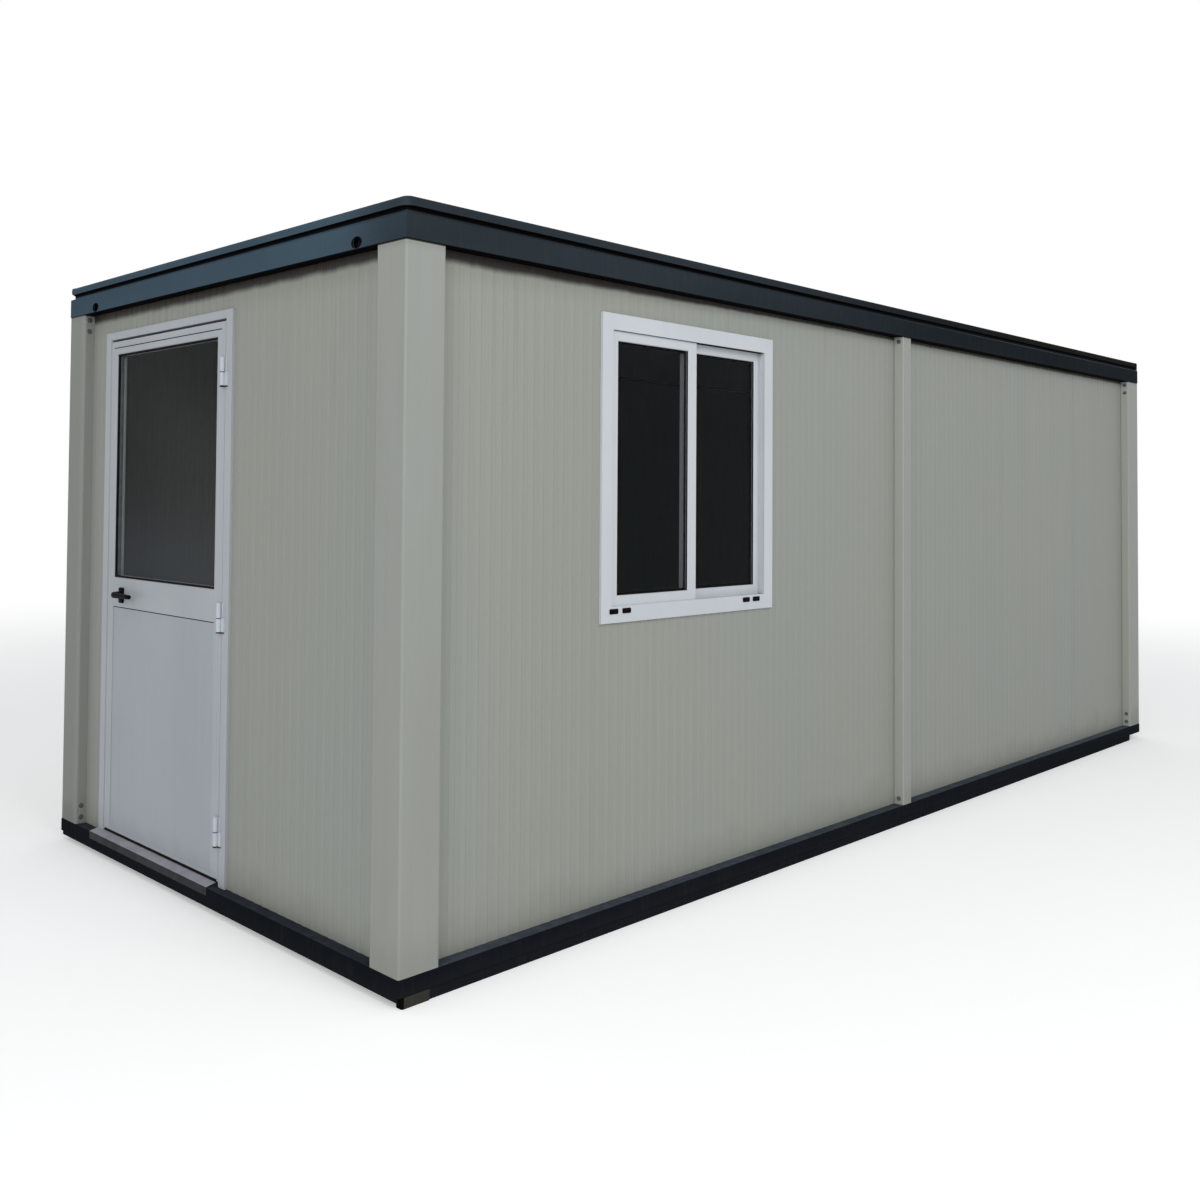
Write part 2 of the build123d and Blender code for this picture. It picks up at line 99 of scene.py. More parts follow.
class CabinColours(bpy.types.PropertyGroup):
    """Colours of the cabin's finishes."""

    wall: colour("Wall sheet", "Coated sheet of the wall panels", 0.308, 0.321, 0.286)
    post: colour("Posts", "Paint of the posts", 0.298, 0.311, 0.280)
    beam: colour("Roof frame", "Paint of the roof frame", 0.027, 0.035, 0.043)
    # A painted sheen: the sky's reflection on the roof frame over the door, laid on as a lighter blue colour.
    end_sheen: colour("Faded roof frame", "Paint of the roof frame over the door, bleached by the weather",
                  0.059, 0.095, 0.127)
    rail: colour("Base frame", "Paint of the base frame", 0.008, 0.010, 0.014)
    foot: colour("Foot", "Worn paint of the corner foot", 0.040, 0.040, 0.034)
    door: colour("Door frame", "Powder coat of the door's frame and leaf", 0.410, 0.438, 0.471)
    door_panel: colour("Door panel", "Coat of the door's lower panel", 0.370, 0.404, 0.432)
    window: colour("Window", "White of the window's frame and sashes", 0.578, 0.612, 0.646)
    glass: colour("Glass", "Tint of the glass", 0.008, 0.011, 0.012)
    plastic: colour("Black plastic", "Handle and drain covers", 0.004, 0.003, 0.004)
    rubber: colour("Rubber", "Gaskets and seals", 0.011, 0.008, 0.008)
    zinc: colour("Zinc", "Galvanised steel", 0.320, 0.330, 0.330)
    spacer: colour("Glass edge", "Metal edge between the panes of the door's glass", 0.200, 0.245, 0.260)
    sill: colour("Sill", "Worn metal of the door sill", 0.350, 0.340, 0.385)
    # The lip colour is painted shade on the sill's faces that do not look up.
    lip: colour("Sill lip", "Dark front edge of the door sill", 0.030, 0.028, 0.032)
    ceiling: colour("Ceiling", "Coated sheet of the ceiling", 0.480, 0.490, 0.480)
    floor: colour("Floor board", "Covering of the floor", 0.110, 0.095, 0.080)
    dirt: colour("Dirt", "Dried dirt and splashes", 0.110, 0.095, 0.070)
    # The blue tint of the dust is painted sky light; under the roof groove it also colours a painted highlight.
    dust: colour("Dust", "Dust that lies on level faces", 0.235, 0.275, 0.330)


class CabinWear(bpy.types.PropertyGroup):
    """How far the cabin has weathered."""

    streaks: share("Streaks", "Faint streaks down the walls", 0.5)
    # Strength of the dirt band and painted shadow under the roof frame, of the dirt runs, and of the painted shade
    # on the door end's back posts.
    stain_and_shade: share("Stain", "Dark band under the roof frame", 0.8)
    splashes: share("Splashes", "Dirt at the foot of the walls and posts", 0.14)
    dust: share("Dust", "Dust on level faces of the frame", 0.5)
    scuffs: share("Scuffs", "Scratches in the paint", 0.4)


class CabinFittings(bpy.types.PropertyGroup):
    """Sizes of the fittings."""

    screw_washer: length("Screw washer", "Diameter of the washer under a screw's head", 22 * MM)
    screw_head: length("Screw head", "Width of a screw's hexagon across its corners", 14 * MM)
    screw_height: length("Screw height", "Height of a screw's hexagon", 5.5 * MM)
    screw_low: length("Lowest screw", "Height above the base frame", 28 * MM)
    screw_high: length("Highest screw", "Depth below the roof frame", 22 * MM)
    screw_pitch: length("Screw pitch", "Distance between the two screws of a pair", 50 * MM)
    gasket_band: length("Gasket", "Width of the gasket that shows round the door's glass", 8 * MM)
    glazing_band: length("Glazing strip", "Width of the strip round the window's panes", 3 * MM)
    seal_band: length("Door seal", "Width of the seal behind the door's edge", 14 * MM)
    seal_depth: length("Seal depth", "Thickness of the seal behind the door's edge", 4 * MM)
    plate_round: length("Plate rounding", "Rounding of the handle plates' front edge", 2.2 * MM)


class CabinStudio(bpy.types.PropertyGroup):
    """Camera, lights and floor."""

    eye: bpy.props.FloatVectorProperty(name="Camera place", description="Where the camera stands", size=3,
                                       default=(-5.441, -4.000, 1.556), subtype="TRANSLATION")
    turn: angle("Camera turn", "Turn of the camera from the long side's normal", 42.74)
    rise: angle("Camera rise", "How far the camera looks up", 1.54)
    roll: angle("Camera roll", "Roll of the camera", 0.54)
    lens: amount("Lens", "Focal length in millimetres", 35.57)
    shift: bpy.props.FloatVectorProperty(name="Camera shift", description="Shift of the lens", size=2,
                                         default=(0.1039, -0.1136))
    sky: amount("Sky", "Strength of the light from all round", 0.53)
    front_light: amount("Front light", "Power of the lamp before the long side, in watts", 243)
    end_light: amount("End light", "Power of the lamp beyond the door end, in watts", 365)
    near_light: amount("Near light", "Power of the lamp close to the near corner, in watts", 24)
    floor: colour("Studio floor", "Colour of the floor", 0.93, 0.93, 0.93)
    glow: share("Floor lift", "How much whiter than lit the floor is seen", 0.28)


GROUPS = {"cabin_colours": CabinColours, "cabin_wear": CabinWear, "cabin_fittings": CabinFittings,
          "cabin_studio": CabinStudio}


# ---- Materials ----

class Value:
    """A socket in a sum: the plain operators add its Math nodes."""

    def __init__(self, board, socket):
        self.board = board
        self.socket = socket

    def __add__(self, other):
        return self.board.sum("ADD", self, other)

    def __sub__(self, other):
        return self.board.sum("SUBTRACT", self, other)

    def __rsub__(self, other):
        return self.board.sum("SUBTRACT", other, self)

    def __mul__(self, other):
        return self.board.sum("MULTIPLY", self, other)

    __radd__ = __add__
    __rmul__ = __mul__


class Board:
    """A tree of nodes: one method adds any node, and the sums add their own."""

    def __init__(self, tree):
        self.tree = tree

    def node(self, kind, settings=None, sockets=None, output=0):
        """Adds one node: its settings first, then the values or links of its sockets."""
        made = self.tree.nodes.new(kind)
        for name, value in (settings or {}).items():
            setattr(made, name, value)
        for name, value in (sockets or {}).items():
            self.feed(made.inputs[name], value)
        return Value(self, made.outputs[output])

    def feed(self, socket, value):
        if isinstance(value, Value):
            self.tree.links.new(value.socket, socket)
        elif socket.type == "RGBA":
            socket.default_value = (*value, 1)
        else:
            socket.default_value = value

    def sum(self, operation, first, second):
        return self.node("ShaderNodeMath", {"operation": operation}, {0: first, 1: second})

    def alone(self, operation, value):
        return self.node("ShaderNodeMath", {"operation": operation}, {0: value})

    def size_of(self, vector):
        return self.node("ShaderNodeVectorMath", {"operation": "LENGTH"}, {0: vector}, output="Value")

    def seen(self):
        """1 for rays of the camera, and for what metal and glass show."""
        path = self.node("ShaderNodeLightPath", output="Is Camera Ray")
        others = path.socket.node.outputs
        for kind in ("Is Transmission Ray", "Is Glossy Ray"):
            path = self.sum("MAXIMUM", path, Value(self, others[kind]))
        return path

    def surface(self, mask, first, second, kind="Material Output"):
        """The first shader where the mask is 0 and the second where it is 1, as what the tree shows."""
        mixed = self.node("ShaderNodeMixShader", None, {0: mask, 1: first, 2: second})
        self.tree.links.new(mixed.socket, self.tree.nodes[kind].inputs["Surface"])


class Finish(Board):
    """A material: its main shader, its colour so far, and the patterns that the colour is mixed from."""

    def __init__(self, name, base=None, **settled):
        self.material = bpy.data.materials.new(name)
        self.material.use_nodes = True
        super().__init__(self.material.node_tree)
        self.shader = self.tree.nodes["Principled BSDF"]
        self.shader.inputs["IOR"].default_value = PAINT_IOR
        for socket, value in settled.items():
            self.shader.inputs[socket.replace("_", " ")].default_value = value
        self.place = self.node("ShaderNodeTexCoord", output="Object")
        self.x, self.y, self.z = self.split(self.place)
        self.out = self.split(self.node("ShaderNodeNewGeometry", output="Normal"))
        self.base = base

    def split(self, vector):
        made = self.node("ShaderNodeSeparateXYZ", sockets={0: vector}).socket.node
        return [Value(self, socket) for socket in made.outputs]

    def mix(self, mask, first, second):
        """The first colour where the mask is 0 and the second where it is 1."""
        return self.node("ShaderNodeMix", {"data_type": "RGBA"}, {0: mask, 6: first, 7: second}, output=2)

    def cover(self, mask, colour):
        """Lays a colour over the colour so far."""
        self.base = self.mix(mask, self.base, colour)

    def ramp(self, value, low, high):
        """0 below low and 1 above high, or the other way round where low is the larger."""
        sockets = {"Value": value, "From Min": low, "From Max": high}
        return self.node("ShaderNodeMapRange", {"interpolation_type": "SMOOTHSTEP"}, sockets)

    def noise(self, scale, detail=3):
        """Cloudy noise, of one scale or of three that stretch it."""
        place = self.place
        if isinstance(scale, tuple):
            place = self.node("ShaderNodeVectorMath", {"operation": "MULTIPLY"}, {0: place, 1: scale})
            scale = 1
        return self.node("ShaderNodeTexNoise", None, {"Vector": place, "Scale": scale, "Detail": detail})

    def specks(self, scale, size, share_left=0.5):
        """Small round marks, of which a share is left out."""
        sockets = {"Vector": self.place, "Scale": scale}
        cells = self.node("ShaderNodeTexVoronoi", None, sockets).socket.node
        dot = self.ramp(Value(self, cells.outputs["Distance"]), size, 0.6 * size)
        chance = self.split(Value(self, cells.outputs["Color"]))[0]
        return dot * self.ramp(chance, share_left, share_left + 0.02)

    def scratches(self, scale, turn, low):
        """Short thin lines that run one way."""
        sockets = {"Vector": self.place, "Rotation": turn, "Scale": (1, 1, 0.05)}
        place = self.node("ShaderNodeMapping", None, sockets)
        fine = self.node("ShaderNodeTexNoise", None, {"Vector": place, "Scale": scale, "Detail": 2})
        return self.ramp(fine, low, low + 0.03) * self.ramp(self.noise(3), 0.5, 0.65)

    def band(self, value, middle, half):
        """1 near the middle and 0 further away than half."""
        return self.ramp(self.alone("ABSOLUTE", value - middle), half, 0.7 * half)

    def facing(self, axis):
        """How far the surface faces along an axis, either way."""
        return self.alone("ABSOLUTE", self.out[axis])

    def upward(self):
        """1 on faces that look up."""
        return self.ramp(self.out[2], 0.6, 0.95)

    def splash(self, rise, scale, reach, low, high):
        """Uneven splashes that climb from a foot."""
        return self.ramp(rise - self.noise(scale, 5) * reach, low, high)

    def fed(self, **sockets):
        """Feeds the main shader and gives the material."""
        for name, value in sockets.items():
            self.feed(self.shader.inputs[name.replace("_", " ")], value)
        return self.material

    def done(self, rough, height, **others):
        """Feeds the colour so far, the roughness and the relief, and gives the material."""
        relief = self.node("ShaderNodeBump", None, {"Height": height, "Distance": 1.0, "Strength": 1.0})
        return self.fed(Base_Color=self.base, Roughness=rough, Normal=relief, **others)


def shade(base, factor):
    return tuple(factor * channel for channel in base)


def blended(first, second, part=0.5):
    return tuple((1 - part) * a + part * b for a, b in zip(first, second))


def wall_material(colours, wear):
    """Coated sheet: a tone for each panel, painted shade on its folds, faint streaks, a dirt band with painted
    shadow under the roof frame, and painted shade beside the posts.
    """
    board = Finish("coated_wall_sheet", Specular_IOR_Level=0.35)
    wall, x, y = colours.wall, board.x, board.y
    box_low, box_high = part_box("corner_post_door_front")
    rise, drop = board.z - box_low.z, box_high.z - board.z
    from_middle = board.sum("MAXIMUM", board.alone("ABSOLUTE", x), 0.5)
    centre = -10 * MM, 10 * MM
    side = board.ramp(x, *centre) * 4.1 + board.ramp(y, *centre) * 9.7  # so that no two sides count alike
    panel = board.alone("FLOOR", from_middle - FIRST_JOINT) + side
    tone = board.node("ShaderNodeTexWhiteNoise", {"noise_dimensions": "1D"}, {"W": panel})
    board.base = board.mix(tone, shade(wall, 1.01), shade(wall, 0.985))
    wide = board.noise((1.3, 1.3, 0.6))
    board.cover(board.ramp(wide, 0.3, 0.75) * 0.5, blended(wall, (0.28, 0.32, 0.33)))

    on_end = board.ramp(board.facing(0), 0.5, 0.6)
    across = (x - 11 * MM) * (1 - on_end) + (y - 25 * MM) * on_end
    # Painted shade on the slopes of the ribs and in their recessed flats.
    slope_shade = board.band(board.alone("FRACT", across * (2 / RIB_PITCH)), 0.06, 0.09)
    recess_shade = board.band(board.alone("FRACT", across * (1 / RIB_PITCH)), 0.28, 0.26)
    board.cover(slope_shade * 0.32 + recess_shade * 0.09, shade(wall, 0.76))
    streaks = board.noise((22, 22, 0.4))
    board.cover(board.ramp(streaks, 0.45, 0.85) * (0.12 * wear.streaks), shade(wall, 0.7))

    # Painted shadow under the roof frame: a brown band that is part dirt and part painted shadow, over a
    # near-black painted shadow line at the top; deeper towards the door end.
    drop = drop * (1 + 1.6 * board.ramp(x, -2.8, -0.4))
    hem = board.noise((11, 11, 2))
    board.cover(board.ramp(drop, 0.13, 0.0) * (0.14 + 0.2 * hem) * wear.stain_and_shade, colours.dirt)
    board.cover(board.ramp(drop - hem * 0.015, 0.042, 0.014) * (1.2 * wear.stain_and_shade), shade(colours.dirt, 0.13))
    # Painted shade in the crevices where the post returns meet the long walls.
    half_gap = 3.5 * MM
    for name in ("centre_post_front", "corner_post_rear_front"):
        gap = board.band(x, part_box(name)[0].x - half_gap, half_gap) * (1 - on_end)
        board.cover(gap * 0.6, shade(colours.dirt, 0.3))
    runs = board.ramp(board.noise((38, 38, 1.4), 2), 0.56, 0.72) * board.ramp(drop, 0.7, 0.05)
    board.cover(runs * (0.14 * wear.stain_and_shade), colours.dirt)
    splash = board.splash(rise, 7, 0.2, 0.06, -0.1)
    marks = board.specks(70, 0.10, 0.86) * board.ramp(rise, 0.9, 0.1)
    board.cover(splash * wear.splashes + marks * (1.5 * wear.splashes), colours.dirt)
    rough = 0.44 + 0.1 * streaks + 0.2 * splash + 0.1 * (wide - 0.5)
    return board.done(rough, board.noise(650, 2) * 0.00006 + board.noise((2.2, 2.2, 1.1), 2) * 0.003)


def post_material(colours, wear):
    """Paint on folded sheet: faint streaks, scuffs and splashes, a dirt band and a painted shadow line under the
    roof frame, painted shade on the door end's back posts and painted light on faces that look along the length.
    """
    post = colours.post
    board = Finish("painted_posts", post, Specular_IOR_Level=0.35)
    box_low, box_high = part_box("corner_post_door_front")
    rise, drop = board.z - box_low.z, box_high.z - board.z
    wide = board.noise((5, 5, 0.8))
    streaks = board.noise((45, 45, 0.9))
    board.cover(board.ramp(wide, 0.3, 0.75), blended(post, (0.33, 0.35, 0.34)))
    board.cover(board.ramp(streaks, 0.45, 0.8) * (0.2 * wear.streaks), shade(post, 0.7))
    splash = board.splash(rise, 9, 0.2, 0.06, -0.1)
    board.cover(splash * wear.splashes, colours.dirt)
    scuffs = board.scratches(420, (0.4, 0.2, 0.3), 0.66)
    board.cover(scuffs * (0.5 * wear.scuffs), shade(post, 1.35))
    board.cover(board.specks(60, 0.09, 0.88) * (1.5 * wear.splashes), colours.dirt)
    # A dirt band with painted shadow under the roof frame, then a near-black painted shadow line along the posts'
    # top edge.
    board.cover(board.ramp(drop, 30 * MM, 0.0) * (0.3 * wear.stain_and_shade), colours.dirt)
    board.cover(board.ramp(drop, 4.5 * MM, 3 * MM) * 0.97, shade(colours.rubber, 0.5))
    # Painted shade on the posts at the door end's back corner, which get less light.
    shaded_back_corner = board.ramp(board.x, -3.0, -3.1) * board.ramp(board.y, 1.0, 1.1)
    board.cover(shaded_back_corner * (0.58 * wear.stain_and_shade), shade(post, 0.4))
    # Painted light on the post faces that look along the cabin's length, on all posts but those of the door end.
    lit_returns = board.facing(0) * board.ramp(board.x, -3.0, -2.9)
    board.cover(lit_returns * 0.8, shade(post, 1.4))
    rough = 0.38 + 0.12 * wide + 0.25 * splash + 0.2 * scuffs
    return board.done(rough, board.noise(520, 2) * 0.00006 + board.noise(3) * 0.0006 - scuffs * 0.00005)


def hole_rims(board):
    """1 on the painted shade round the lifting holes, which is wider than it is high."""
    # The rims are painted shade that makes the holes look larger and dark.
    worn = 0
    for y, z in {(abs(hole["pos_m"][1]), hole["pos_m"][2]) for hole in lifting_holes()}:
        across = (board.alone("ABSOLUTE", board.y) - y) * 0.68
        away = board.size_of(board.node("ShaderNodeCombineXYZ", None, {0: across, 1: board.z - z}))
        rim = board.ramp(away, HOLE_RADIUS + 2.5 * MM, HOLE_RADIUS + 0.5 * MM) * board.facing(0)
        worn = board.sum("MAXIMUM", worn, rim)
    return worn


def groove_shadow(board, colours, groove):
    """Shades a roof beam's cap over its groove, lights the line under it, and gives what lies in shadow."""
    low, high = groove
    far = board.ramp(board.x, -1.2, 1.8)
    board.cover(far * board.ramp(board.z, high, high + 2 * MM) * 0.75, shade(colours.dirt, 0.1))
    # Painted highlight along the fascia's top edge, in the dust colour.
    board.cover(far * board.band(board.z, low - 7 * MM, 4 * MM) * 0.3, colours.dust)
    inside = board.ramp(board.z, low, low + 2 * MM) * board.ramp(board.z, high + 1 * MM, high)
    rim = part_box("corner_post_door_front")[1].z
    under = board.ramp(board.z, rim + 3.5 * MM, rim + 2.5 * MM)
    return board.sum("MAXIMUM", inside * (1 - far * 0.5), under)


def steel_material(name, paint, colours, wear, dusty, end_sheen=None, groove=None, ended=0):
    """Dark paint: faint runs, dust on level faces that is also painted sky light, worn spots and scratches, and
    painted shade on faces that look down, on the foot's near end, round the lifting holes and in the roof groove;
    the roof frame also gets a painted sheen over the door and painted shade along the long side.
    """
    board = Finish(name, paint, Specular_IOR_Level=0.01, IOR=1.2)
    x, z = board.x, board.z
    if end_sheen:
        on_end = board.ramp(x, -3.09, -3.13) * board.ramp(board.facing(0), 0.3, 0.8)
        # Painted shade: the roof frame darkens along the long side, away from the door end.
        board.cover(board.ramp(x, -2.2, 1.2) * 0.75, shade(paint, 0.3))
        # Painted sheen of the sky on the roof frame over the door, fainter at the near corner.
        board.cover(on_end * (0.25 + 0.75 * board.ramp(board.y, -1.15, -0.8)), end_sheen)
    wide = board.noise((1.5, 1.5, 6), 4)
    board.cover(board.ramp(wide, 0.3, 0.7) * 0.12, (0, 0, 0))
    board.cover(board.ramp(board.noise((60, 60, 4)), 0.5, 0.75) * (0.03 * wear.dust), colours.dust)
    grit = board.ramp(board.noise(28, 6), 0.35, 0.75)
    # Dust on faces that look up, which is also painted sky light, more of it further along the cabin.
    settled = board.upward() * (0.4 + 0.2 * grit)
    length_wise = 0.55 + 0.45 * board.ramp(x, -3.08, -3.0) + 0.5 * board.ramp(x, 0, 3)
    board.cover(settled * length_wise * (dusty * wear.dust), colours.dust)
    foot = board.splash(z, 12, 0.06, 0.06, 0.0)
    board.cover(foot * (0.3 * wear.splashes), colours.dirt)
    scuffs = board.scratches(380, (1.3, 0.4, 0.2), 0.64) + board.specks(55, 0.07, 0.9) * 0.6
    board.cover(scuffs * (0.15 * wear.scuffs), shade(colours.dust, 0.6))
    # Painted shade: faces that look down, the foot's near end, the rims of the lifting holes and the roof groove
    # are darkened.
    near_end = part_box("corner_foot")[0].x + 8 * MM
    shaded_end = board.ramp(x, near_end + 1 * MM, near_end) * ended
    painted_shade = board.sum("MAXIMUM", board.ramp(board.out[2], -0.5, -0.9), shaded_end)
    painted_shade = board.sum("MAXIMUM", painted_shade, hole_rims(board))
    if groove:
        painted_shade = board.sum("MAXIMUM", painted_shade, groove_shadow(board, colours, groove))
    board.cover(painted_shade * 0.95, shade(colours.rubber, 0.3))
    rough = 0.42 + 0.12 * wide + 0.35 * settled + 0.3 * foot + 0.15 * scuffs
    return board.done(rough, board.noise(480, 2) * 0.00008 + grit * settled * 0.00025 - scuffs * 0.00006)


def white_material(name, coat, colours, wear, grain=700, foot=0.12):
    """Powder coat or plastic, with hand marks, dust and a dirtier foot."""
    board = Finish(name, coat, Specular_IOR_Level=0.4)
    cloud = board.noise((2.5, 2.5, 1.5), 4)
    board.cover(board.ramp(cloud, 0.3, 0.75), shade(coat, 0.93))
    wiped = board.ramp(board.noise((34, 34, 1.5)), 0.5, 0.8)
    board.cover(wiped * (0.08 * wear.streaks), blended(coat, colours.dirt))
    splash = board.splash(board.z - foot, 11, 0.16, 0.04, -0.09)
    board.cover(splash * (0.5 * wear.splashes), colours.dirt)
    board.cover(board.upward() * board.ramp(board.noise(60), 0.3, 0.7) * (0.5 * wear.dust), colours.dust)
    board.cover(board.specks(90, 0.08, 0.93) * (1.4 * wear.splashes), colours.dirt)
    rough = 0.33 + 0.14 * cloud + 0.1 * wiped + 0.3 * splash
    return board.done(rough, board.noise(grain, 2) * 0.00006 + board.noise(4) * 0.0003)


def glass_material(name, tint, colours, gloss, cover, dusty=0):
    """Dark glass: clear enough to see the room, with dust in its lower edge and wiped smears."""
    board = Finish(name, tint, Specular_IOR_Level=gloss)
    smear = board.ramp(board.noise((3, 3, 1.5), 5), 0.5, 0.8)
    film = board.ramp(board.noise((38, 38, 15.2), 4), 0.45, 0.8)
    board.cover(film * 0.02 + smear * 0.012, colours.dust)
    low, high = (corner.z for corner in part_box("door_glass"))
    board.cover(board.ramp(board.z, (low + high) / 2, low) * dusty, colours.dust)
    rough = 0.015 + 0.05 * smear + 0.03 * film
    return board.done(rough, board.noise(1.2, 2) * 0.0006, Alpha=cover + 0.05 * film)


def black_material(name, base, colours, rough_at, grain):
    """Rubber or plastic, rubbed paler in places, with a little dust."""
    board = Finish(name, base, Specular_IOR_Level=0.03)
    rubbed = board.ramp(board.noise(45, 4), 0.4, 0.75)
    board.cover(rubbed, shade(base, 1.7))
    dusty = board.upward() * board.ramp(board.noise(150), 0.35, 0.7)
    board.cover(dusty * 0.03 + board.specks(400, 0.12, 0.9) * 0.05, colours.dust)
    return board.done(rough_at + 0.16 * rubbed, board.noise(grain) * 0.00005)


def zinc_material(name, base, colours, wear):
    """Galvanised sheet: its crystals, dull patches and dirt."""
    board = Finish(name, Metallic=0.75)
    cells = board.node("ShaderNodeTexVoronoi", None, {"Vector": board.place, "Scale": 55}, output="Color")
    flake = board.split(cells)[0]
    patch = board.noise(3, 5)
    board.base = board.mix(flake, shade(base, 0.82), shade(base, 1.12))
    board.cover(board.ramp(patch, 0.45, 0.75) * 0.5, blended(base, colours.dust, 0.7))
    board.cover(board.upward() * board.ramp(board.noise(9), 0.35, 0.75) * (0.5 * wear.dust), colours.dirt)
    return board.done(0.42 + 0.16 * flake + 0.2 * patch, flake * 0.00005 + board.noise(300) * 0.00004)


def sill_material(colours):
    """Worn metal threshold: brushed along its length, trodden dull in the middle, with painted shade on every face
    that does not look up.
    """
    board = Finish("door_sill_metal", Specular_IOR_Level=0.15)
    brushed = board.noise((900, 4, 900), 2)
    trodden = board.ramp(board.noise(14, 5), 0.4, 0.7)
    board.base = board.mix(brushed, shade(colours.sill, 0.9), shade(colours.sill, 1.15))
    board.cover(trodden * 0.3, blended(colours.dirt, colours.dust, 0.4))
    # Painted shade: faces that do not look up get the dark lip colour.
    board.base = board.mix(board.upward(), colours.lip, board.base)
    height = brushed * 0.00005 + board.scratches(500, (0.9, 0.3, 1.2), 0.62) * -0.00008
    return board.done(0.40 + 0.15 * brushed + 0.2 * trodden, height)


def ceiling_material(colours, wear):
    """Coated sheet, barely marked."""
    board = Finish("ceiling_sheet", colours.ceiling, Specular_IOR_Level=0.35)
    cloud = board.noise(1.4, 4)
    board.cover(board.ramp(cloud, 0.3, 0.8), shade(colours.ceiling, 0.93))
    board.cover(board.specks(45, 0.08, 0.9) * (0.5 * wear.splashes), colours.dirt)
    return board.done(0.45 + 0.1 * cloud, board.noise(500) * 0.00006 + board.noise(2) * 0.0008)


def floor_board_material(colours, wear):
    """Film-faced board: long faint grain under a brown film, scuffed in places."""
    board = Finish("floor_board_film", Specular_IOR_Level=0.4)
    grain = board.noise((3, 60, 60), 5)
    worn = board.ramp(board.noise(2.2, 5), 0.45, 0.75)
    board.base = board.mix(board.ramp(grain, 0.3, 0.7), shade(colours.floor, 0.8), shade(colours.floor, 1.2))
    board.cover(worn * (0.5 * wear.dust), colours.dust)
    scuffs = board.scratches(160, (1.4, 0.5, 0.9), 0.62)
    board.cover(scuffs * (0.4 * wear.scuffs), shade(colours.floor, 0.4))
    return board.done(0.42 + 0.2 * worn, grain * 0.0001 - scuffs * 0.0001)


# ---- Mesh tools ----

def bevelled(bm, edges, width, segments=2):
    bmesh.ops.bevel(bm, geom=edges, offset=width, offset_type="OFFSET", segments=segments, profile=0.5,
                    affect="EDGES", material=-1)


def everything(bm):
    return bm.verts[:] + bm.edges[:] + bm.faces[:]


def edges_of(verts):
    return list({edge for vert in verts for edge in vert.link_edges})


def upright(bm, least):
    """The edges that stand out of the face, and are longer than the least."""
    return [edge for edge in bm.edges if abs(edge.verts[0].co.z - edge.verts[1].co.z) > least]


def foremost(faces):
    return max(faces, key=lambda face: face.calc_center_median().z)


def slab(bm, size, middle):
    """A block to be shaped further: gives its vertices."""
    made = bmesh.ops.create_cube(bm, size=1)["verts"]
    bmesh.ops.scale(bm, vec=size, verts=made)
    bmesh.ops.translate(bm, vec=middle, verts=made)
    return made


def drum(bm, segments, foot_radius, top_radius, height, foot=(0, 0, 0)):
    """A round or many-sided stub that stands on its foot: gives its vertices."""
    made = bmesh.ops.create_cone(bm, cap_ends=True, segments=segments, radius1=foot_radius,
                                 radius2=top_radius, depth=height)["verts"]
    bmesh.ops.translate(bm, vec=Vector(foot) + Vector((0, 0, height / 2)), verts=made)
    return made


def soft_bar(bm, low, high, rounding):
    """A straight strip between two corners, with soft edges."""
    low, high = Vector(low), Vector(high)
    bevelled(bm, edges_of(slab(bm, high - low, (low + high) / 2)), rounding)


def strip_ring(bm, low, high, band, depth, rounding):
    """A strip that runs round a rectangle, inside it, standing forward from low.z, with soft edges."""
    made = bmesh.ops.create_grid(bm, x_segments=1, y_segments=1, size=0.5)["verts"]
    bmesh.ops.scale(bm, vec=(high.x - low.x, high.y - low.y, 1), verts=made)
    bmesh.ops.translate(bm, vec=((low.x + high.x) / 2, (low.y + high.y) / 2, low.z), verts=made)
    inner = made[0].link_faces[0]
    bmesh.ops.inset_individual(bm, faces=[inner], thickness=band, use_even_offset=True)
    bmesh.ops.delete(bm, geom=[inner], context="FACES_ONLY")
    extruded = bmesh.ops.extrude_face_region(bm, geom=bm.faces[:], use_keep_orig=True)["geom"]
    lifted = [part for part in extruded if isinstance(part, bmesh.types.BMVert)]
    bmesh.ops.translate(bm, vec=(0, 0, depth), verts=lifted)
    bmesh.ops.recalc_face_normals(bm, faces=bm.faces)
    sharp = [edge for edge in bm.edges if edge.is_manifold and edge.calc_face_angle() > math.radians(50)]
    front = [edge for edge in sharp if all(vert.co.z > low.z + depth / 2 for vert in edge.verts)]
    bevelled(bm, front, rounding)


def grown(bm, rim, matrix):
    """Extrudes an open rim, moves the new one, and gives its edges."""
    made = bmesh.ops.extrude_edge_only(bm, edges=rim)["geom"]
    verts = {part for part in made if isinstance(part, bmesh.types.BMVert)}
    bmesh.ops.transform(bm, matrix=matrix, verts=list(verts))
    return [part for part in made if isinstance(part, bmesh.types.BMEdge) and set(part.verts) <= verts]


def meshed(name, bm):
    """Ends a bmesh as a mesh."""
    mesh = bpy.data.meshes.new(name)
    bm.to_mesh(mesh)
    bm.free()
    return mesh


def added(name, data):
    made = bpy.data.objects.new(name, data)
    bpy.context.scene.collection.objects.link(made)
    return made


def piece(name, bm, turn, material, body, slot, *stands_for):
    """Turns a finished shape to its side, and makes it a piece that rides on a body."""
    bmesh.ops.transform(bm, matrix=turn.to_4x4(), verts=bm.verts)
    mesh = meshed(name, bm)
    mesh.materials.append(material)
    mesh.shade_smooth()
    mesh.set_sharp_from_angle(angle=math.radians(38))
    made = added(name, mesh)
    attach(made, body)
    if stands_for:
        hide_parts(*stands_for)


def bar_piece(name, turn, material, body, slot, *bars):
    """A piece of straight strips, each given by two corners and the rounding of its edges."""
    bm = bmesh.new()
    for low, high, rounding in bars:
        soft_bar(bm, low, high, rounding)
    piece(name, bm, turn, material, body, slot)


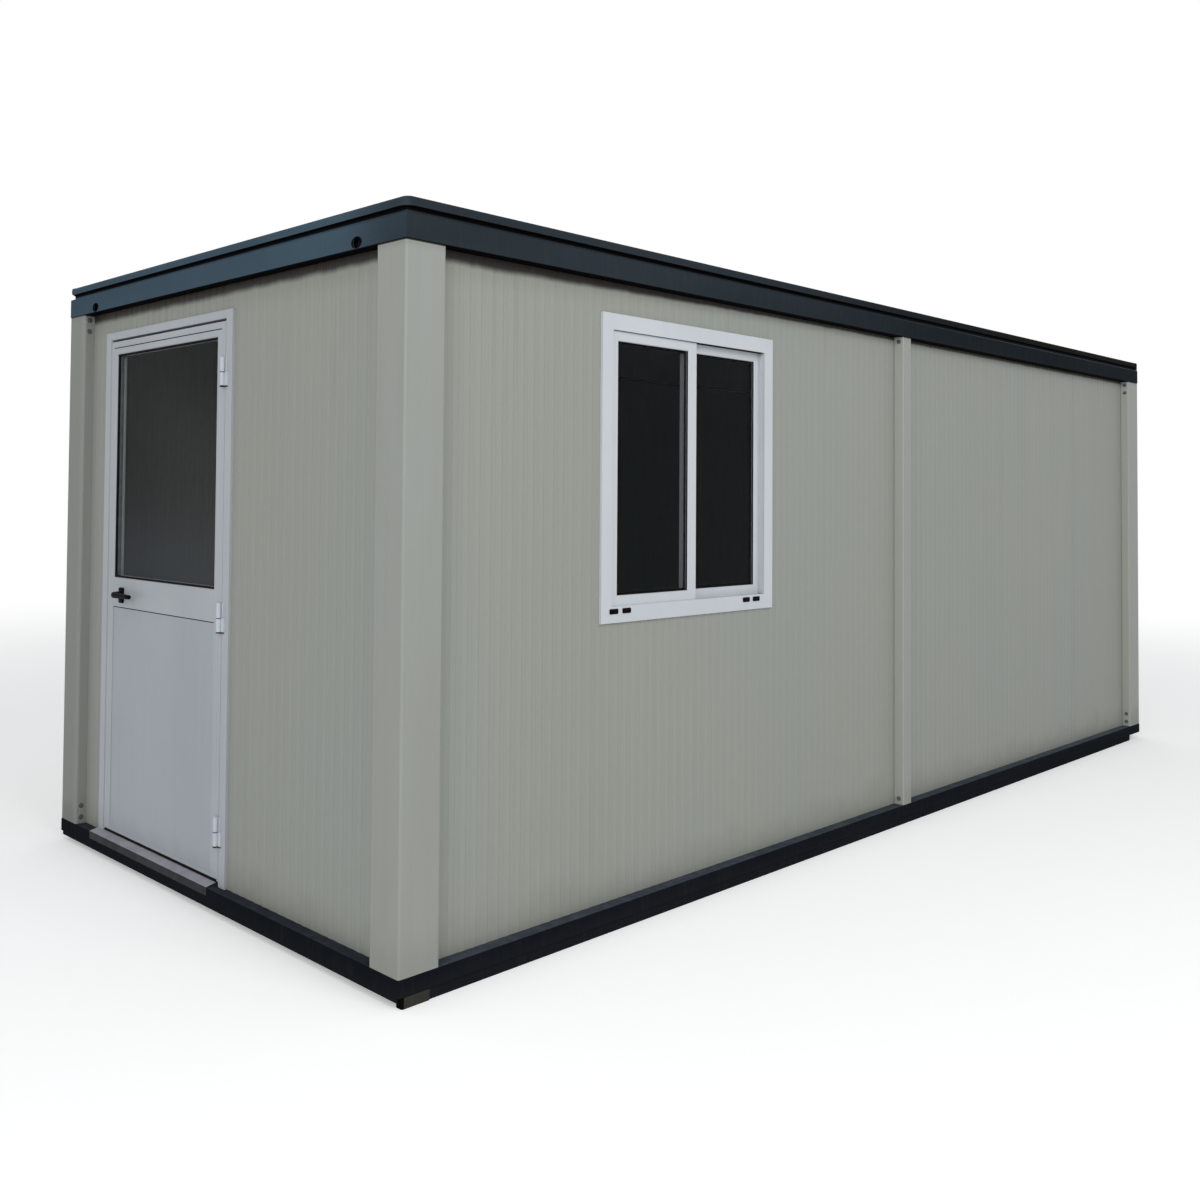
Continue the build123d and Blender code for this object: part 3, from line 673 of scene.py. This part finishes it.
def ring_piece(name, turn, material, body, slot, *ring):
    bm = bmesh.new()
    strip_ring(bm, *ring)
    piece(name, bm, turn, material, body, slot)


def paint(name):
    """A material that an earlier step made."""
    return bpy.data.materials[name]


def finish_nodes(material, *starts):
    """Gives a material to every CAD node whose name starts so."""
    names = [name for name in frame["nodes"] if name.startswith(starts)]
    if not names:
        raise RuntimeError(f"no node starts with {starts}")
    for name in names:
        materials = frame["nodes"][name].data.materials
        materials.clear()
        materials.append(material)


def black(name, scene):
    """The black rubber or plastic, made when it is first asked for."""
    colours = scene.cabin_colours
    base, rough, grain = {"black_rubber": (colours.rubber, 0.55, 900),
                          "black_plastic": (colours.plastic, 0.26, 1400)}[name]
    return bpy.data.materials.get(name) or black_material(name, base, colours, rough, grain)


def seen_box(name, turn):
    """A node's box in the view of a side: lowest and highest corner, across, up and out."""
    corners = [turn.transposed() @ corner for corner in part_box(name)]
    return Vector(map(min, *corners)), Vector(map(max, *corners))


def block_boxes(name, turn):
    """The boxes of the separate blocks in one CAD node, in the view of a side, lowest first."""
    bm = bmesh.new()
    bm.from_mesh(frame["nodes"][name].data)
    bmesh.ops.remove_doubles(bm, verts=bm.verts, dist=0.01 * MM)
    left = set(bm.verts)
    boxes = []
    while left:
        block, rim = set(), [left.pop()]
        while rim:
            vert = rim.pop()
            block.add(vert)
            near = {edge.other_vert(vert) for edge in vert.link_edges} & left
            left -= near
            rim += near
        corners = [turn.transposed() @ vert.co for vert in block]
        boxes.append((Vector(map(min, *corners)), Vector(map(max, *corners))))
    bm.free()
    return sorted(boxes, key=lambda box: (box[0].y, box[0].x))


def joint_place(body):
    """Where the axis of a body's joint passes."""
    return Vector(next(joint for joint in frame["joints"] if joint["child"] == body)["pos_m"])


def lifting_holes():
    """The lifting holes of the record, of which there must be some."""
    holes = [mount for mount in frame["record"]["mounts"] if mount["name"].startswith("lifting_hole")]
    if not holes:
        raise RuntimeError("the record has no lifting holes")
    return holes


# ---- Operators ----

class CABIN_OT_walls(bpy.types.Operator):
    """Finish the wall panels and the posts"""

    bl_idname = "cabin.walls"
    bl_label = "Walls and posts"

    def execute(self, context):
        looks = context.scene.cabin_colours, context.scene.cabin_wear
        finish_nodes(wall_material(*looks), "front_wall", "back_wall", "rear_wall", "door_wall")
        finish_nodes(post_material(*looks), "corner_post", "centre_post")
        return {"FINISHED"}


class CABIN_OT_frame(bpy.types.Operator):
    """Finish the base rails, runners, foot, roof beams, joists and roof sheet"""

    bl_idname = "cabin.frame"
    bl_label = "Base and roof"

    def execute(self, context):
        colours, wear = looks = context.scene.cabin_colours, context.scene.cabin_wear
        roof_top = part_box("roof_beam_front")[1].z
        groove = roof_top - 46 * MM, roof_top - 33 * MM
        beam = steel_material("roof_frame_paint", colours.beam, *looks, 0.25, colours.end_sheen, groove)
        finish_nodes(beam, "roof_beam")
        finish_nodes(steel_material("base_frame_paint", colours.rail, *looks, 0.9), "base_")
        finish_nodes(steel_material("foot_paint", colours.foot, *looks, 0.3, ended=1), "corner_foot")
        finish_nodes(zinc_material("zinc_sheet", colours.zinc, colours, wear), "roof_sheet", "floor_joists")
        return {"FINISHED"}


class CABIN_OT_inside(bpy.types.Operator):
    """Finish the floor board and the ceiling"""

    bl_idname = "cabin.inside"
    bl_label = "Floor and ceiling"

    def execute(self, context):
        looks = context.scene.cabin_colours, context.scene.cabin_wear
        finish_nodes(floor_board_material(*looks), "floor_board")
        finish_nodes(ceiling_material(*looks), "ceiling")
        return {"FINISHED"}


class CABIN_OT_door(bpy.types.Operator):
    """Finish the door's frame, leaf, hinges, sill and glass"""

    bl_idname = "cabin.door"
    bl_label = "Door"

    def execute(self, context):
        colours, wear = context.scene.cabin_colours, context.scene.cabin_wear
        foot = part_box("door_sill")[1].z
        for name, coat, grain, nodes in (
                ("door_powder_coat", colours.door, 700, ("door_jamb", "door_head", "door_leaf_frame")),
                ("door_panel_coat", colours.door_panel, 420, ("door_leaf_panel",)),
                # The hinges get the door's coat lightened 1.35 times, a painted highlight.
                ("door_white_lightened", shade(colours.door, 1.35), 700, ("door_hinge",))):
            finish_nodes(white_material(name, coat, colours, wear, grain, foot), *nodes)
        finish_nodes(sill_material(colours), "door_sill")
        glass = glass_material("door_glass", colours.glass, colours, gloss=0.14, cover=0.24, dusty=0.22)
        finish_nodes(glass, "door_glass")
        return {"FINISHED"}


class CABIN_OT_window(bpy.types.Operator):
    """Finish the window's frame, sashes and panes"""

    bl_idname = "cabin.window"
    bl_label = "Window"

    def execute(self, context):
        colours, wear = context.scene.cabin_colours, context.scene.cabin_wear
        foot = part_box("window_frame")[0].z - 100 * MM
        white = white_material("window_white", colours.window, colours, wear, 1100, foot)
        finish_nodes(white, "window_frame", "window_sash")
        glass = glass_material("window_glass", colours.glass, colours, gloss=0.13, cover=0.28)
        finish_nodes(glass, "window_pane")
        return {"FINISHED"}


def washer_screw(bm, fittings, place, out):
    """One screw with a washer and a hexagon head, standing out of a face."""
    thick = 1.2 * MM
    washer, head = fittings.screw_washer / 2, fittings.screw_head / 2
    made = drum(bm, 20, washer, washer - thick, thick)
    hexagon = drum(bm, 6, head, head, fittings.screw_height, (0, 0, thick))
    top = foremost({face for vert in hexagon for face in vert.link_faces})
    bmesh.ops.inset_individual(bm, faces=[top], thickness=1.2 * MM, depth=0.5 * MM)
    turn = out.to_track_quat("Z", "Y").to_matrix().to_4x4()
    verts = list({*made, *hexagon, *top.verts})
    bmesh.ops.transform(bm, matrix=Matrix.Translation(place) @ turn, verts=verts)


def post_screws(bm, fittings):
    """The screws through the returns of the posts into the base and roof frame."""
    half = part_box("corner_post_door_front")[0]
    centre_low, centre_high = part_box("centre_post_front")
    depth = (centre_high.y - centre_low.y) / 2
    for name in sorted(node for node in frame["nodes"] if "_post_" in node):
        low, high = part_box(name)
        foot, top = low.z + fittings.screw_low, high.z - fittings.screw_high
        side = math.copysign(1, low.y + high.y)
        y = side * (-half.y - depth)
        if name.startswith("centre"):
            heights = foot, top
            rows = ((low.x, y), (-1, 0, 0)), ((high.x, y), (1, 0, 0))
        else:
            heights = foot, foot + fittings.screw_pitch, top - fittings.screw_pitch, top
            end = math.copysign(1, low.x + high.x)
            face_x = low.x if end > 0 else high.x
            face_y = low.y if side > 0 else high.y
            rows = ((face_x, y), (-end, 0, 0)), ((end * (-half.x - depth), face_y), (0, -side, 0))
        for z in heights:
            for place, out in rows:
                washer_screw(bm, fittings, Vector((*place, z)), Vector(out))


class CABIN_OT_screws(bpy.types.Operator):
    """Add the screws in the returns of the posts"""

    bl_idname = "cabin.screws"
    bl_label = "Post screws"

    def execute(self, context):
        scene = context.scene
        bm = bmesh.new()
        post_screws(bm, scene.cabin_fittings)
        bmesh.ops.recalc_face_normals(bm, faces=bm.faces)
        colours = scene.cabin_colours
        zinc = zinc_material("zinc_screws", shade(colours.zinc, 0.42), colours, scene.cabin_wear)
        piece("post_screws", bm, PLAN, zinc, CABIN, "zinc_joist")
        return {"FINISHED"}


class CABIN_OT_frame_ends(bpy.types.Operator):
    """Add the lip under the door end's rail and the blocks that close three corners of the roof beams"""

    bl_idname = "cabin.frame_ends"
    bl_label = "Frame ends"

    def execute(self, context):
        low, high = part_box("base_rail_door_end")
        foot = (low.x + 1 * MM, low.y + 9 * MM, low.z - 13 * MM)
        top = (low.x + 6 * MM, high.y - 16 * MM, low.z + 3 * MM)
        lip = foot, top, 1.2 * MM
        bar_piece("end_rail_lip", PLAN, paint("base_frame_paint"), CABIN, "dark_frame", lip)

        low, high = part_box("roof_beam_front")
        half, rounding, top = 17 * MM, 9 * MM, high.z - 1 * MM
        beam_height, cap_height = 60 * MM, 33 * MM
        near, far = low.x + half, high.x - half
        blocks = []
        for x, side, tall in ((far, -1, beam_height), (far, 1, beam_height), (near, 1, cap_height)):
            y = side * (abs(low.y) - half)
            blocks.append(((x - half, y - half, high.z - tall), (x + half, y + half, top), rounding))
        bar_piece("groove_ends", PLAN, paint("roof_frame_paint"), CABIN, "dark_frame", *blocks)
        return {"FINISHED"}


class CABIN_OT_lifting_hole_shade_plates(bpy.types.Operator):
    """Paint the shade inside the lifting holes with black plates behind them, which close the view through the
    holes
    """

    bl_idname = "cabin.lifting_plates"
    bl_label = "Lifting plates"

    def execute(self, context):
        half = Vector((1 * MM, 62 * MM, 21 * MM))
        behind, above = 20 * MM, Vector((0, 0, 3 * MM))
        plates = []
        for hole in lifting_holes():
            middle = Vector(hole["pos_m"]) - Vector(hole["axis"]) * behind + above
            plates.append((middle - half, middle + half, 0.6 * MM))
        bar_piece("lifting_plates", PLAN, black("black_rubber", context.scene), CABIN, "dark_frame", *plates)
        return {"FINISHED"}


class CABIN_OT_door_seals(bpy.types.Operator):
    """Add the gaskets and beads of the door's glass, the door's seals and its strips"""

    bl_idname = "cabin.door_seals"
    bl_label = "Door seals"

    hidden = 10 * MM  # how far the glass goes behind the leaf's frame

    def execute(self, context):
        scene = context.scene
        rubber = black("black_rubber", scene)
        leaf = seen_box("door_leaf_frame", DOOR_END)
        self.seal_glass(scene, rubber, leaf[0].z)
        self.seal_frame(scene.cabin_fittings, rubber, *leaf)
        self.seal_leaf(rubber, *leaf)
        return {"FINISHED"}

    def seal_glass(self, scene, rubber, leaf_back):
        """The gaskets of the glass, its metal edges and the beads behind it."""
        glass_low, glass_high = seen_box("door_glass", DOOR_END)
        # The inner gasket and the beads take the lightened door coat: painted light on the reveal seen through the
        # glass.
        white = paint("door_white_lightened")
        band = scene.cabin_fittings.gasket_band
        hidden = Vector((self.hidden, self.hidden, 0))
        low, high = glass_low + hidden, glass_high - hidden
        low.z = high.z
        ring_piece("door_glass_gasket_outer", DOOR_END, rubber, DOOR, "black_handle",
                   low, high, band, 8 * MM, 1.5 * MM)
        depth = 2 * MM
        back = Vector((low.x, low.y, glass_low.z - depth))
        ring_piece("door_glass_gasket_inner", DOOR_END, white, DOOR, "white_hinge",
                   back, high, band, depth, 0.6 * MM)

        wide = band + 0.6 * MM
        edges, beads = [], []
        for left in (low.x, high.x - wide):
            right = left + wide
            edges.append(((left, low.y + 2 * MM, glass_low.z + 1 * MM),
                          (right, high.y - 2 * MM, glass_high.z - 1 * MM), 0.5 * MM))
            beads.append(((left, low.y, leaf_back + 1 * MM), (right, high.y, back.z), 1 * MM))
        colours = scene.cabin_colours
        metal = zinc_material("glass_edge_metal", colours.spacer, colours, scene.cabin_wear)
        bar_piece("door_glass_edges", DOOR_END, metal, DOOR, "zinc_joist", *edges)
        bar_piece("door_glass_beads", DOOR_END, white, DOOR, "white_hinge", *beads)

    def seal_frame(self, fittings, rubber, leaf_low, leaf_high):
        """The seal behind the leaf's edge, cut off at its foot, and the strips beside the leaf."""
        stop, below = 17 * MM, 100 * MM
        behind = leaf_low.z - 5 * MM
        low = Vector((seen_box("door_jamb_lock_side", DOOR_END)[1].x - stop, leaf_low.y - below, behind))
        high = Vector((seen_box("door_jamb_hinge_side", DOOR_END)[0].x + stop,
                       seen_box("door_head", DOOR_END)[0].y + stop, behind))
        bm = bmesh.new()
        strip_ring(bm, low, high, fittings.seal_band, fittings.seal_depth, 1.4 * MM)
        cut = bmesh.ops.bisect_plane(bm, geom=everything(bm), plane_co=(0, leaf_low.y, 0),
                                     plane_no=(0, 1, 0), clear_inner=True)["geom_cut"]
        bmesh.ops.holes_fill(bm, edges=[part for part in cut if isinstance(part, bmesh.types.BMEdge)])
        piece("door_frame_seal", bm, DOOR_END, rubber, CABIN, "black_handle")

        gap, width = 6 * MM, 3.8 * MM
        rear, front = leaf_high.z - 11 * MM, leaf_high.z - 1.5 * MM
        strips = []
        for left in (leaf_low.x - gap, leaf_high.x + gap - width):
            foot, head = (left, leaf_low.y - gap, rear), (left + width, leaf_high.y + gap, front)
            strips.append((foot, head, 0.8 * MM))
        bar_piece("door_jamb_strips", DOOR_END, paint("door_powder_coat"), CABIN, "white_door", *strips)

    def seal_leaf(self, rubber, low, high):
        """The sweep and its blade under the leaf, and black strips that paint the shade over its panel under the
        mid rail and in the step across its top.
        """
        sweep = ((low.x + 1 * MM, low.y - 5 * MM, high.z - 11 * MM),
                 (high.x - 1 * MM, low.y, high.z - 1 * MM))
        blade = ((low.x + 8 * MM, low.y - 4.5 * MM, high.z - 4 * MM),
                 (high.x - 8 * MM, low.y + 6 * MM, high.z - 0.6 * MM))
        glass_low, glass_high = seen_box("door_glass", DOOR_END)
        panel = seen_box("door_leaf_panel", DOOR_END)[1]
        rim, inset = panel.y - self.hidden, 28 * MM
        shade_under_rail = ((glass_low.x + self.hidden, rim - 3.5 * MM, panel.z),
                      (glass_high.x - self.hidden, rim, panel.z + 1.6 * MM))
        top = high.y - inset
        shade_in_step = ((low.x + inset, top - 1.2 * MM, high.z - 1 * MM),
                      (high.x - inset, top + 1.8 * MM, high.z + 0.6 * MM))
        bar_piece("door_leaf_strips", DOOR_END, rubber, DOOR, "black_handle",
                  (*sweep, 1 * MM), (*blade, 0.8 * MM), (*shade_under_rail, 0.7 * MM), (*shade_in_step, 0.5 * MM))


def disc(bm, place, radius, height):
    """A washer with soft rims, standing on its place."""
    made = drum(bm, 32, radius, radius, height, place)
    ends = {face for vert in made for face in vert.link_faces if len(face.verts) > 4}
    bevelled(bm, list({edge for face in ends for edge in face.edges}), 0.5 * MM)


class CABIN_OT_hinge_trims(bpy.types.Operator):
    """Add the washers at the split and the foot of each hinge, a bar under each frame wing, and the strips beside
    the hinges; the foot washers and bars are black to paint the shadow under the hinges
    """

    bl_idname = "cabin.hinge_trims"
    bl_label = "Hinge trims"

    def execute(self, context):
        axis = joint_place(DOOR)
        beside, _, out = DOOR_END.transposed() @ axis
        face = seen_box("door_jamb_hinge_side", DOOR_END)[1].z
        halves = [block_boxes(f"door_hinge_{side}_halves", DOOR_END) for side in ("frame", "leaf")]
        thin, thick = 2.6 * MM, 5 * MM
        washers, strips = bmesh.new(), []
        for fixed, turning in zip(*halves):
            radius = turning[1].z - out + 0.6 * MM
            split, foot = turning[0].y - 0.4 * MM, fixed[0].y
            disc(washers, Vector((axis.x, axis.y, split - thin)), radius, thin)
            # The black foot washer and the bar under the frame wing paint the shadow under the hinge.
            disc(washers, Vector((axis.x, axis.y, foot - thick)), radius, thick)
            soft_bar(washers, (-face - 4.4 * MM, -beside - 25 * MM, foot - thick),
                     (1 * MM - face, -beside, foot), 0.6 * MM)
            strips.append(((beside + 6 * MM, split, face - 3 * MM),
                           (beside + 15 * MM, turning[1].y, face + 1.4 * MM), 0.6 * MM))
        piece("hinge_washers", washers, PLAN, black("black_rubber", context.scene), CABIN, "black_handle")
        bar_piece("hinge_strips", DOOR_END, paint("door_white_lightened"), CABIN, "white_hinge", *strips)
        return {"FINISHED"}


class CABIN_OT_window_seals(bpy.types.Operator):
    """Add the glazing strips round the window's panes, the brushes at its head and the buffer strip"""

    bl_idname = "cabin.window_seals"
    bl_label = "Window seals"

    def execute(self, context):
        scene = context.scene
        rubber = black("black_rubber", scene)
        band = scene.cabin_fittings.glazing_band
        hidden, depth = Vector((7 * MM, 7 * MM, 0)), 2 * MM
        for side in ("outer", "inner"):
            pane_low, pane_high = seen_box(f"window_pane_{side}", FRONT)
            low, high = pane_low + hidden, pane_high - hidden
            behind = Vector((low.x, low.y, low.z - depth))
            low.z = high.z
            ring_piece(f"window_glazing_{side}", FRONT, rubber, CABIN, "black_cover",
                       low, high, band, 2.5 * MM, 0.8 * MM)
            ring_piece(f"window_back_glazing_{side}", FRONT, rubber, CABIN, "black_cover",
                       behind, high, 3 * band, depth, 0.6 * MM)

        frame_low, frame_high = seen_box("window_frame", FRONT)
        outer_low, outer_high = seen_box("window_sash_outer", FRONT)
        face = 60 * MM
        left, right = frame_low.x + face, frame_high.x - face
        foot, head, lip = frame_low.y + face, frame_high.y - face, outer_high.z + 0.3 * MM
        upper = head + 0.5 * MM
        middle = outer_high.x
        # The black brushes at the head also paint the shade under it, the far one deep over the inner sash.
        near = (left, head - 1.2 * MM, lip), (middle, upper, lip + 5 * MM), 0.5 * MM
        far = (middle + 0.5 * MM, head - 2 * MM, lip - 20 * MM), (right, upper, lip + 2 * MM), 0.5 * MM
        bar_piece("window_head_brushes", FRONT, rubber, CABIN, "black_cover", near, far)
        buffer = (right, foot, outer_low.z), (right + 8 * MM, head, outer_high.z), 1 * MM
        bar_piece("window_buffer_strip", FRONT, paint("window_white"), CABIN, "white_window", buffer)
        return {"FINISHED"}


class CABIN_OT_drain_covers(bpy.types.Operator):
    """Replace the plain drain covers of the window by hooded ones"""

    bl_idname = "cabin.drain_covers"
    bl_label = "Drain covers"

    def execute(self, context):
        bm = bmesh.new()
        for low, high in block_boxes("window_drain_covers", FRONT):
            cover = bmesh.new()
            slab(cover, high - low, (low + high) / 2)
            bevelled(cover, upright(cover, (high - low).z / 2), 4.5 * MM, 4)
            bevelled(cover, list(foremost(cover.faces).edges), 1.1 * MM)
            level = max(round(face.calc_center_median().z, 6) for face in cover.faces)
            level_faces = [face for face in cover.faces if round(face.calc_center_median().z, 6) == level]
            front = max(level_faces, key=lambda face: face.calc_area())
            bmesh.ops.inset_individual(cover, faces=[front], thickness=2.6 * MM)
            bmesh.ops.inset_individual(cover, faces=[front], thickness=0.5 * MM, depth=-1.2 * MM)
            made = meshed("cover", cover)
            bm.from_mesh(made)
            bpy.data.meshes.remove(made)
        piece("drain_covers", bm, FRONT, black("black_plastic", context.scene), CABIN, "black_cover",
              "window_drain_covers")
        return {"FINISHED"}


def lever_arm(bm, play, reach, long, tip):
    """One arm, drawn from the spindle: neck out of the plate, thick bend, arm that tapers to a blunt end."""
    half, tall, bend = 11 * MM, 13 * MM, 17 * MM
    rim = bmesh.ops.create_circle(bm, cap_ends=False, segments=28, radius=1)["verts"]
    bmesh.ops.scale(bm, vec=(half, tall, 1), verts=rim)
    bmesh.ops.translate(bm, vec=(0, 0, play), verts=rim)
    edges = edges_of(rim)
    bmesh.ops.contextual_create(bm, geom=edges)
    edges = grown(bm, edges, Matrix.Translation((0, 0, reach - bend - play)))
    steps = 10
    centre = Vector((bend, 0, reach - bend))
    turn = Matrix.Rotation(math.radians(90 / steps), 4, "Y")
    around = Matrix.Translation(centre) @ turn @ Matrix.Translation(-centre)
    for _ in range(steps):
        edges = grown(bm, edges, around)
    runs, blunt = 6, 5 * MM
    run = (long - bend - blunt) / runs
    front = reach + half
    for i in range(runs):
        before, after = 1 - i / runs, 1 - (i + 1) / runs
        across, up = ((tip + (size - tip) * after) / (tip + (size - tip) * before) for size in (half, tall))
        here = Matrix.Translation((bend + i * run, 0, front))
        shrink = here @ Matrix.Diagonal((1, up, across, 1)) @ here.inverted()
        edges = grown(bm, edges, Matrix.Translation((run, 0, 0)) @ shrink)
    for step, size in ((2.6 * MM, 0.86), (1.6 * MM, 0.8), (0.8 * MM, 0.62)):
        ends = [vert.co.x for edge in edges for vert in edge.verts]
        here = Matrix.Translation((sum(ends) / len(ends), 0, front - tip))
        pinch = here @ Matrix.Diagonal((1, size, size, 1)) @ here.inverted()
        edges = grown(bm, edges, Matrix.Translation((step, 0, 0)) @ pinch)
    bmesh.ops.contextual_create(bm, geom=edges)


def handle_plate(bm, size, middle, rounding):
    """A plate with round corners, a soft front edge and two low screw heads."""
    slab(bm, size, middle)
    bevelled(bm, upright(bm, size.z / 2), 7 * MM, 6)
    bevelled(bm, list(foremost(bm.faces).edges), rounding, 3)
    tall = 1.2 * MM
    for side in (-1, 1):
        drum(bm, 16, 3.4 * MM, 3 * MM, tall, (middle.x, middle.y + side * 0.36 * size.y, size.z - tall / 2))


class CABIN_OT_lever(bpy.types.Operator):
    """Replace the plain lever and plates by rounded ones"""

    bl_idname = "cabin.lever"
    bl_label = "Lever handle"

    def execute(self, context):
        scene = context.scene
        plastic = black("black_plastic", scene)
        lever = seen_box("door_lever", DOOR_END)[1]
        leaf_low, leaf_high = seen_box("door_leaf_frame", DOOR_END)
        axis = DOOR_END.transposed() @ joint_place(LEVER)
        face, back = leaf_high.z, leaf_low.z
        middle = (face + back) / 2
        play, spindle, half = 8.4 * MM, 4 * MM, 11 * MM
        bm = bmesh.new()
        lever_arm(bm, play, lever.z - face - half, lever.x - axis.x, 9 * MM)
        bmesh.ops.translate(bm, vec=(axis.x, axis.y, face), verts=bm.verts)
        level = Matrix.Translation((0, 0, -middle))
        bmesh.ops.mirror(bm, geom=everything(bm), axis="Z", matrix=level, merge_dist=0)
        drum(bm, 20, spindle, spindle, face - back + 2 * play, (axis.x, axis.y, back - play))
        bmesh.ops.recalc_face_normals(bm, faces=bm.faces)
        piece("lever_handle", bm, DOOR_END, plastic, LEVER, "black_handle", "door_lever")

        plate_low, plate_high = seen_box("door_handle_plates", DOOR_END)
        size = plate_high - plate_low
        size.z = plate_high.z - face
        centre = (plate_low + plate_high) / 2
        centre.z = size.z / 2
        for name, z, out, stands_for in (("handle_plate_outer", face, 1, ["door_handle_plates"]),
                                         ("handle_plate_inner", back, -1, [])):
            bm = bmesh.new()
            handle_plate(bm, size, centre, scene.cabin_fittings.plate_round)
            bmesh.ops.scale(bm, vec=(1, 1, out), verts=bm.verts)
            bmesh.ops.recalc_face_normals(bm, faces=bm.faces)
            bmesh.ops.translate(bm, vec=(0, 0, z), verts=bm.verts)
            piece(name, bm, DOOR_END, plastic, DOOR, "black_handle", *stands_for)
        return {"FINISHED"}


class CABIN_OT_studio(bpy.types.Operator):
    """Add the floor, the lamps, the sky and the camera"""

    bl_idname = "cabin.studio"
    bl_label = "Studio"

    def execute(self, context):
        scene = context.scene
        studio = scene.cabin_studio
        self.camera(scene, studio)
        self.floor(studio)
        self.sky(scene, studio)
        self.lamp("front_lamp", studio.front_light, 6, (-2.5, -8.5, 6.5), (-0.5, 0, 1))
        self.lamp("end_lamp", studio.end_light, 6, (-13, -6.5, 5), (-1, -1, 1))
        self.lamp("near_lamp", studio.near_light, 3, (-6.5, -4, 3.6), (-3, -1, 1.3))
        scene.view_settings.view_transform = "Standard"
        return {"FINISHED"}

    def camera(self, scene, studio):
        data = bpy.data.cameras.new("camera")
        data.lens = studio.lens
        data.sensor_width = 36
        data.shift_x, data.shift_y = studio.shift
        data.clip_end = 200
        made = added("camera", data)
        turn = Matrix.Rotation(-studio.turn, 4, "Z") @ Matrix.Rotation(studio.rise, 4, "X")
        stand = turn @ Matrix.Rotation(math.radians(90), 4, "X") @ Matrix.Rotation(studio.roll, 4, "Z")
        made.matrix_world = Matrix.Translation(studio.eye) @ stand
        scene.camera = made

    def lamp(self, name, power, size, place, aim):
        light = bpy.data.lights.new(name, "AREA")
        light.energy = power
        light.shape = "DISK"
        light.size = size
        made = added(name, light)
        made.location = place
        made.rotation_euler = (Vector(aim) - Vector(place)).to_track_quat("-Z", "Y").to_euler()

    def floor(self, studio):
        """A wide pale floor that shows shadows near the cabin and is plain white further off."""
        near, far, edge = 5.0, 13.0, 60.0
        bm = bmesh.new()
        bmesh.ops.create_circle(bm, cap_ends=True, segments=64, radius=edge)
        made = added("studio_floor", meshed("studio_floor", bm))
        board = Finish("studio_floor", Roughness=0.95, Specular_IOR_Level=0.1, Emission_Strength=studio.glow)
        seen = board.seen()
        board.fed(Base_Color=board.mix(board.noise(0.6), studio.floor, shade(studio.floor, 0.985)),
                  Emission_Color=board.mix(seen, (0, 0, 0), (1, 1, 1)))
        white = board.node("ShaderNodeEmission", None, {"Color": (1, 1, 1), "Strength": 1.0})
        away = board.ramp(board.size_of(board.place), near, far)
        board.surface(away * seen, Value(board, board.shader.outputs[0]), white)
        made.data.materials.append(board.material)

    def sky(self, scene, studio):
        """An even light, seen as plain white."""
        world = bpy.data.worlds.new("studio_sky")
        scene.world = world
        world.use_nodes = True
        board = Board(world.node_tree)
        even = board.node("ShaderNodeBackground", None, {"Color": (0.97, 0.985, 1), "Strength": studio.sky})
        white = board.node("ShaderNodeBackground", None, {"Color": (1, 1, 1), "Strength": 1.0})
        board.surface(board.seen(), even, white, "World Output")


STEPS = (CABIN_OT_walls, CABIN_OT_frame, CABIN_OT_inside, CABIN_OT_door, CABIN_OT_window, CABIN_OT_screws,
         CABIN_OT_frame_ends, CABIN_OT_lifting_hole_shade_plates, CABIN_OT_door_seals, CABIN_OT_hinge_trims,
         CABIN_OT_window_seals, CABIN_OT_drain_covers, CABIN_OT_lever, CABIN_OT_studio)


class CABIN_PT_finishes(bpy.types.Panel):
    """Lists the sizes, the colours and the steps."""

    bl_idname = "CABIN_PT_finishes"
    bl_label = "Site cabin"
    bl_space_type = "VIEW_3D"
    bl_region_type = "UI"
    bl_category = "Site cabin"

    def draw(self, context):
        for name in GROUPS:
            group = getattr(context.scene, name)
            box = self.layout.box()
            for value in group.__annotations__:
                box.prop(group, value)
        for step in STEPS:
            self.layout.operator(step.bl_idname)


def register():
    for name, group in GROUPS.items():
        bpy.utils.register_class(group)
        setattr(bpy.types.Scene, name, bpy.props.PointerProperty(type=group))
    for step in (*STEPS, CABIN_PT_finishes):
        bpy.utils.register_class(step)


def unregister():
    for step in (CABIN_PT_finishes, *reversed(STEPS)):
        bpy.utils.unregister_class(step)
    for name, group in reversed(GROUPS.items()):
        delattr(bpy.types.Scene, name)
        bpy.utils.unregister_class(group)


def main():
    register()
    for step in STEPS:
        group, name = step.bl_idname.split(".")
        getattr(getattr(bpy.ops, group), name)()


if __name__ == "__main__":
    main()
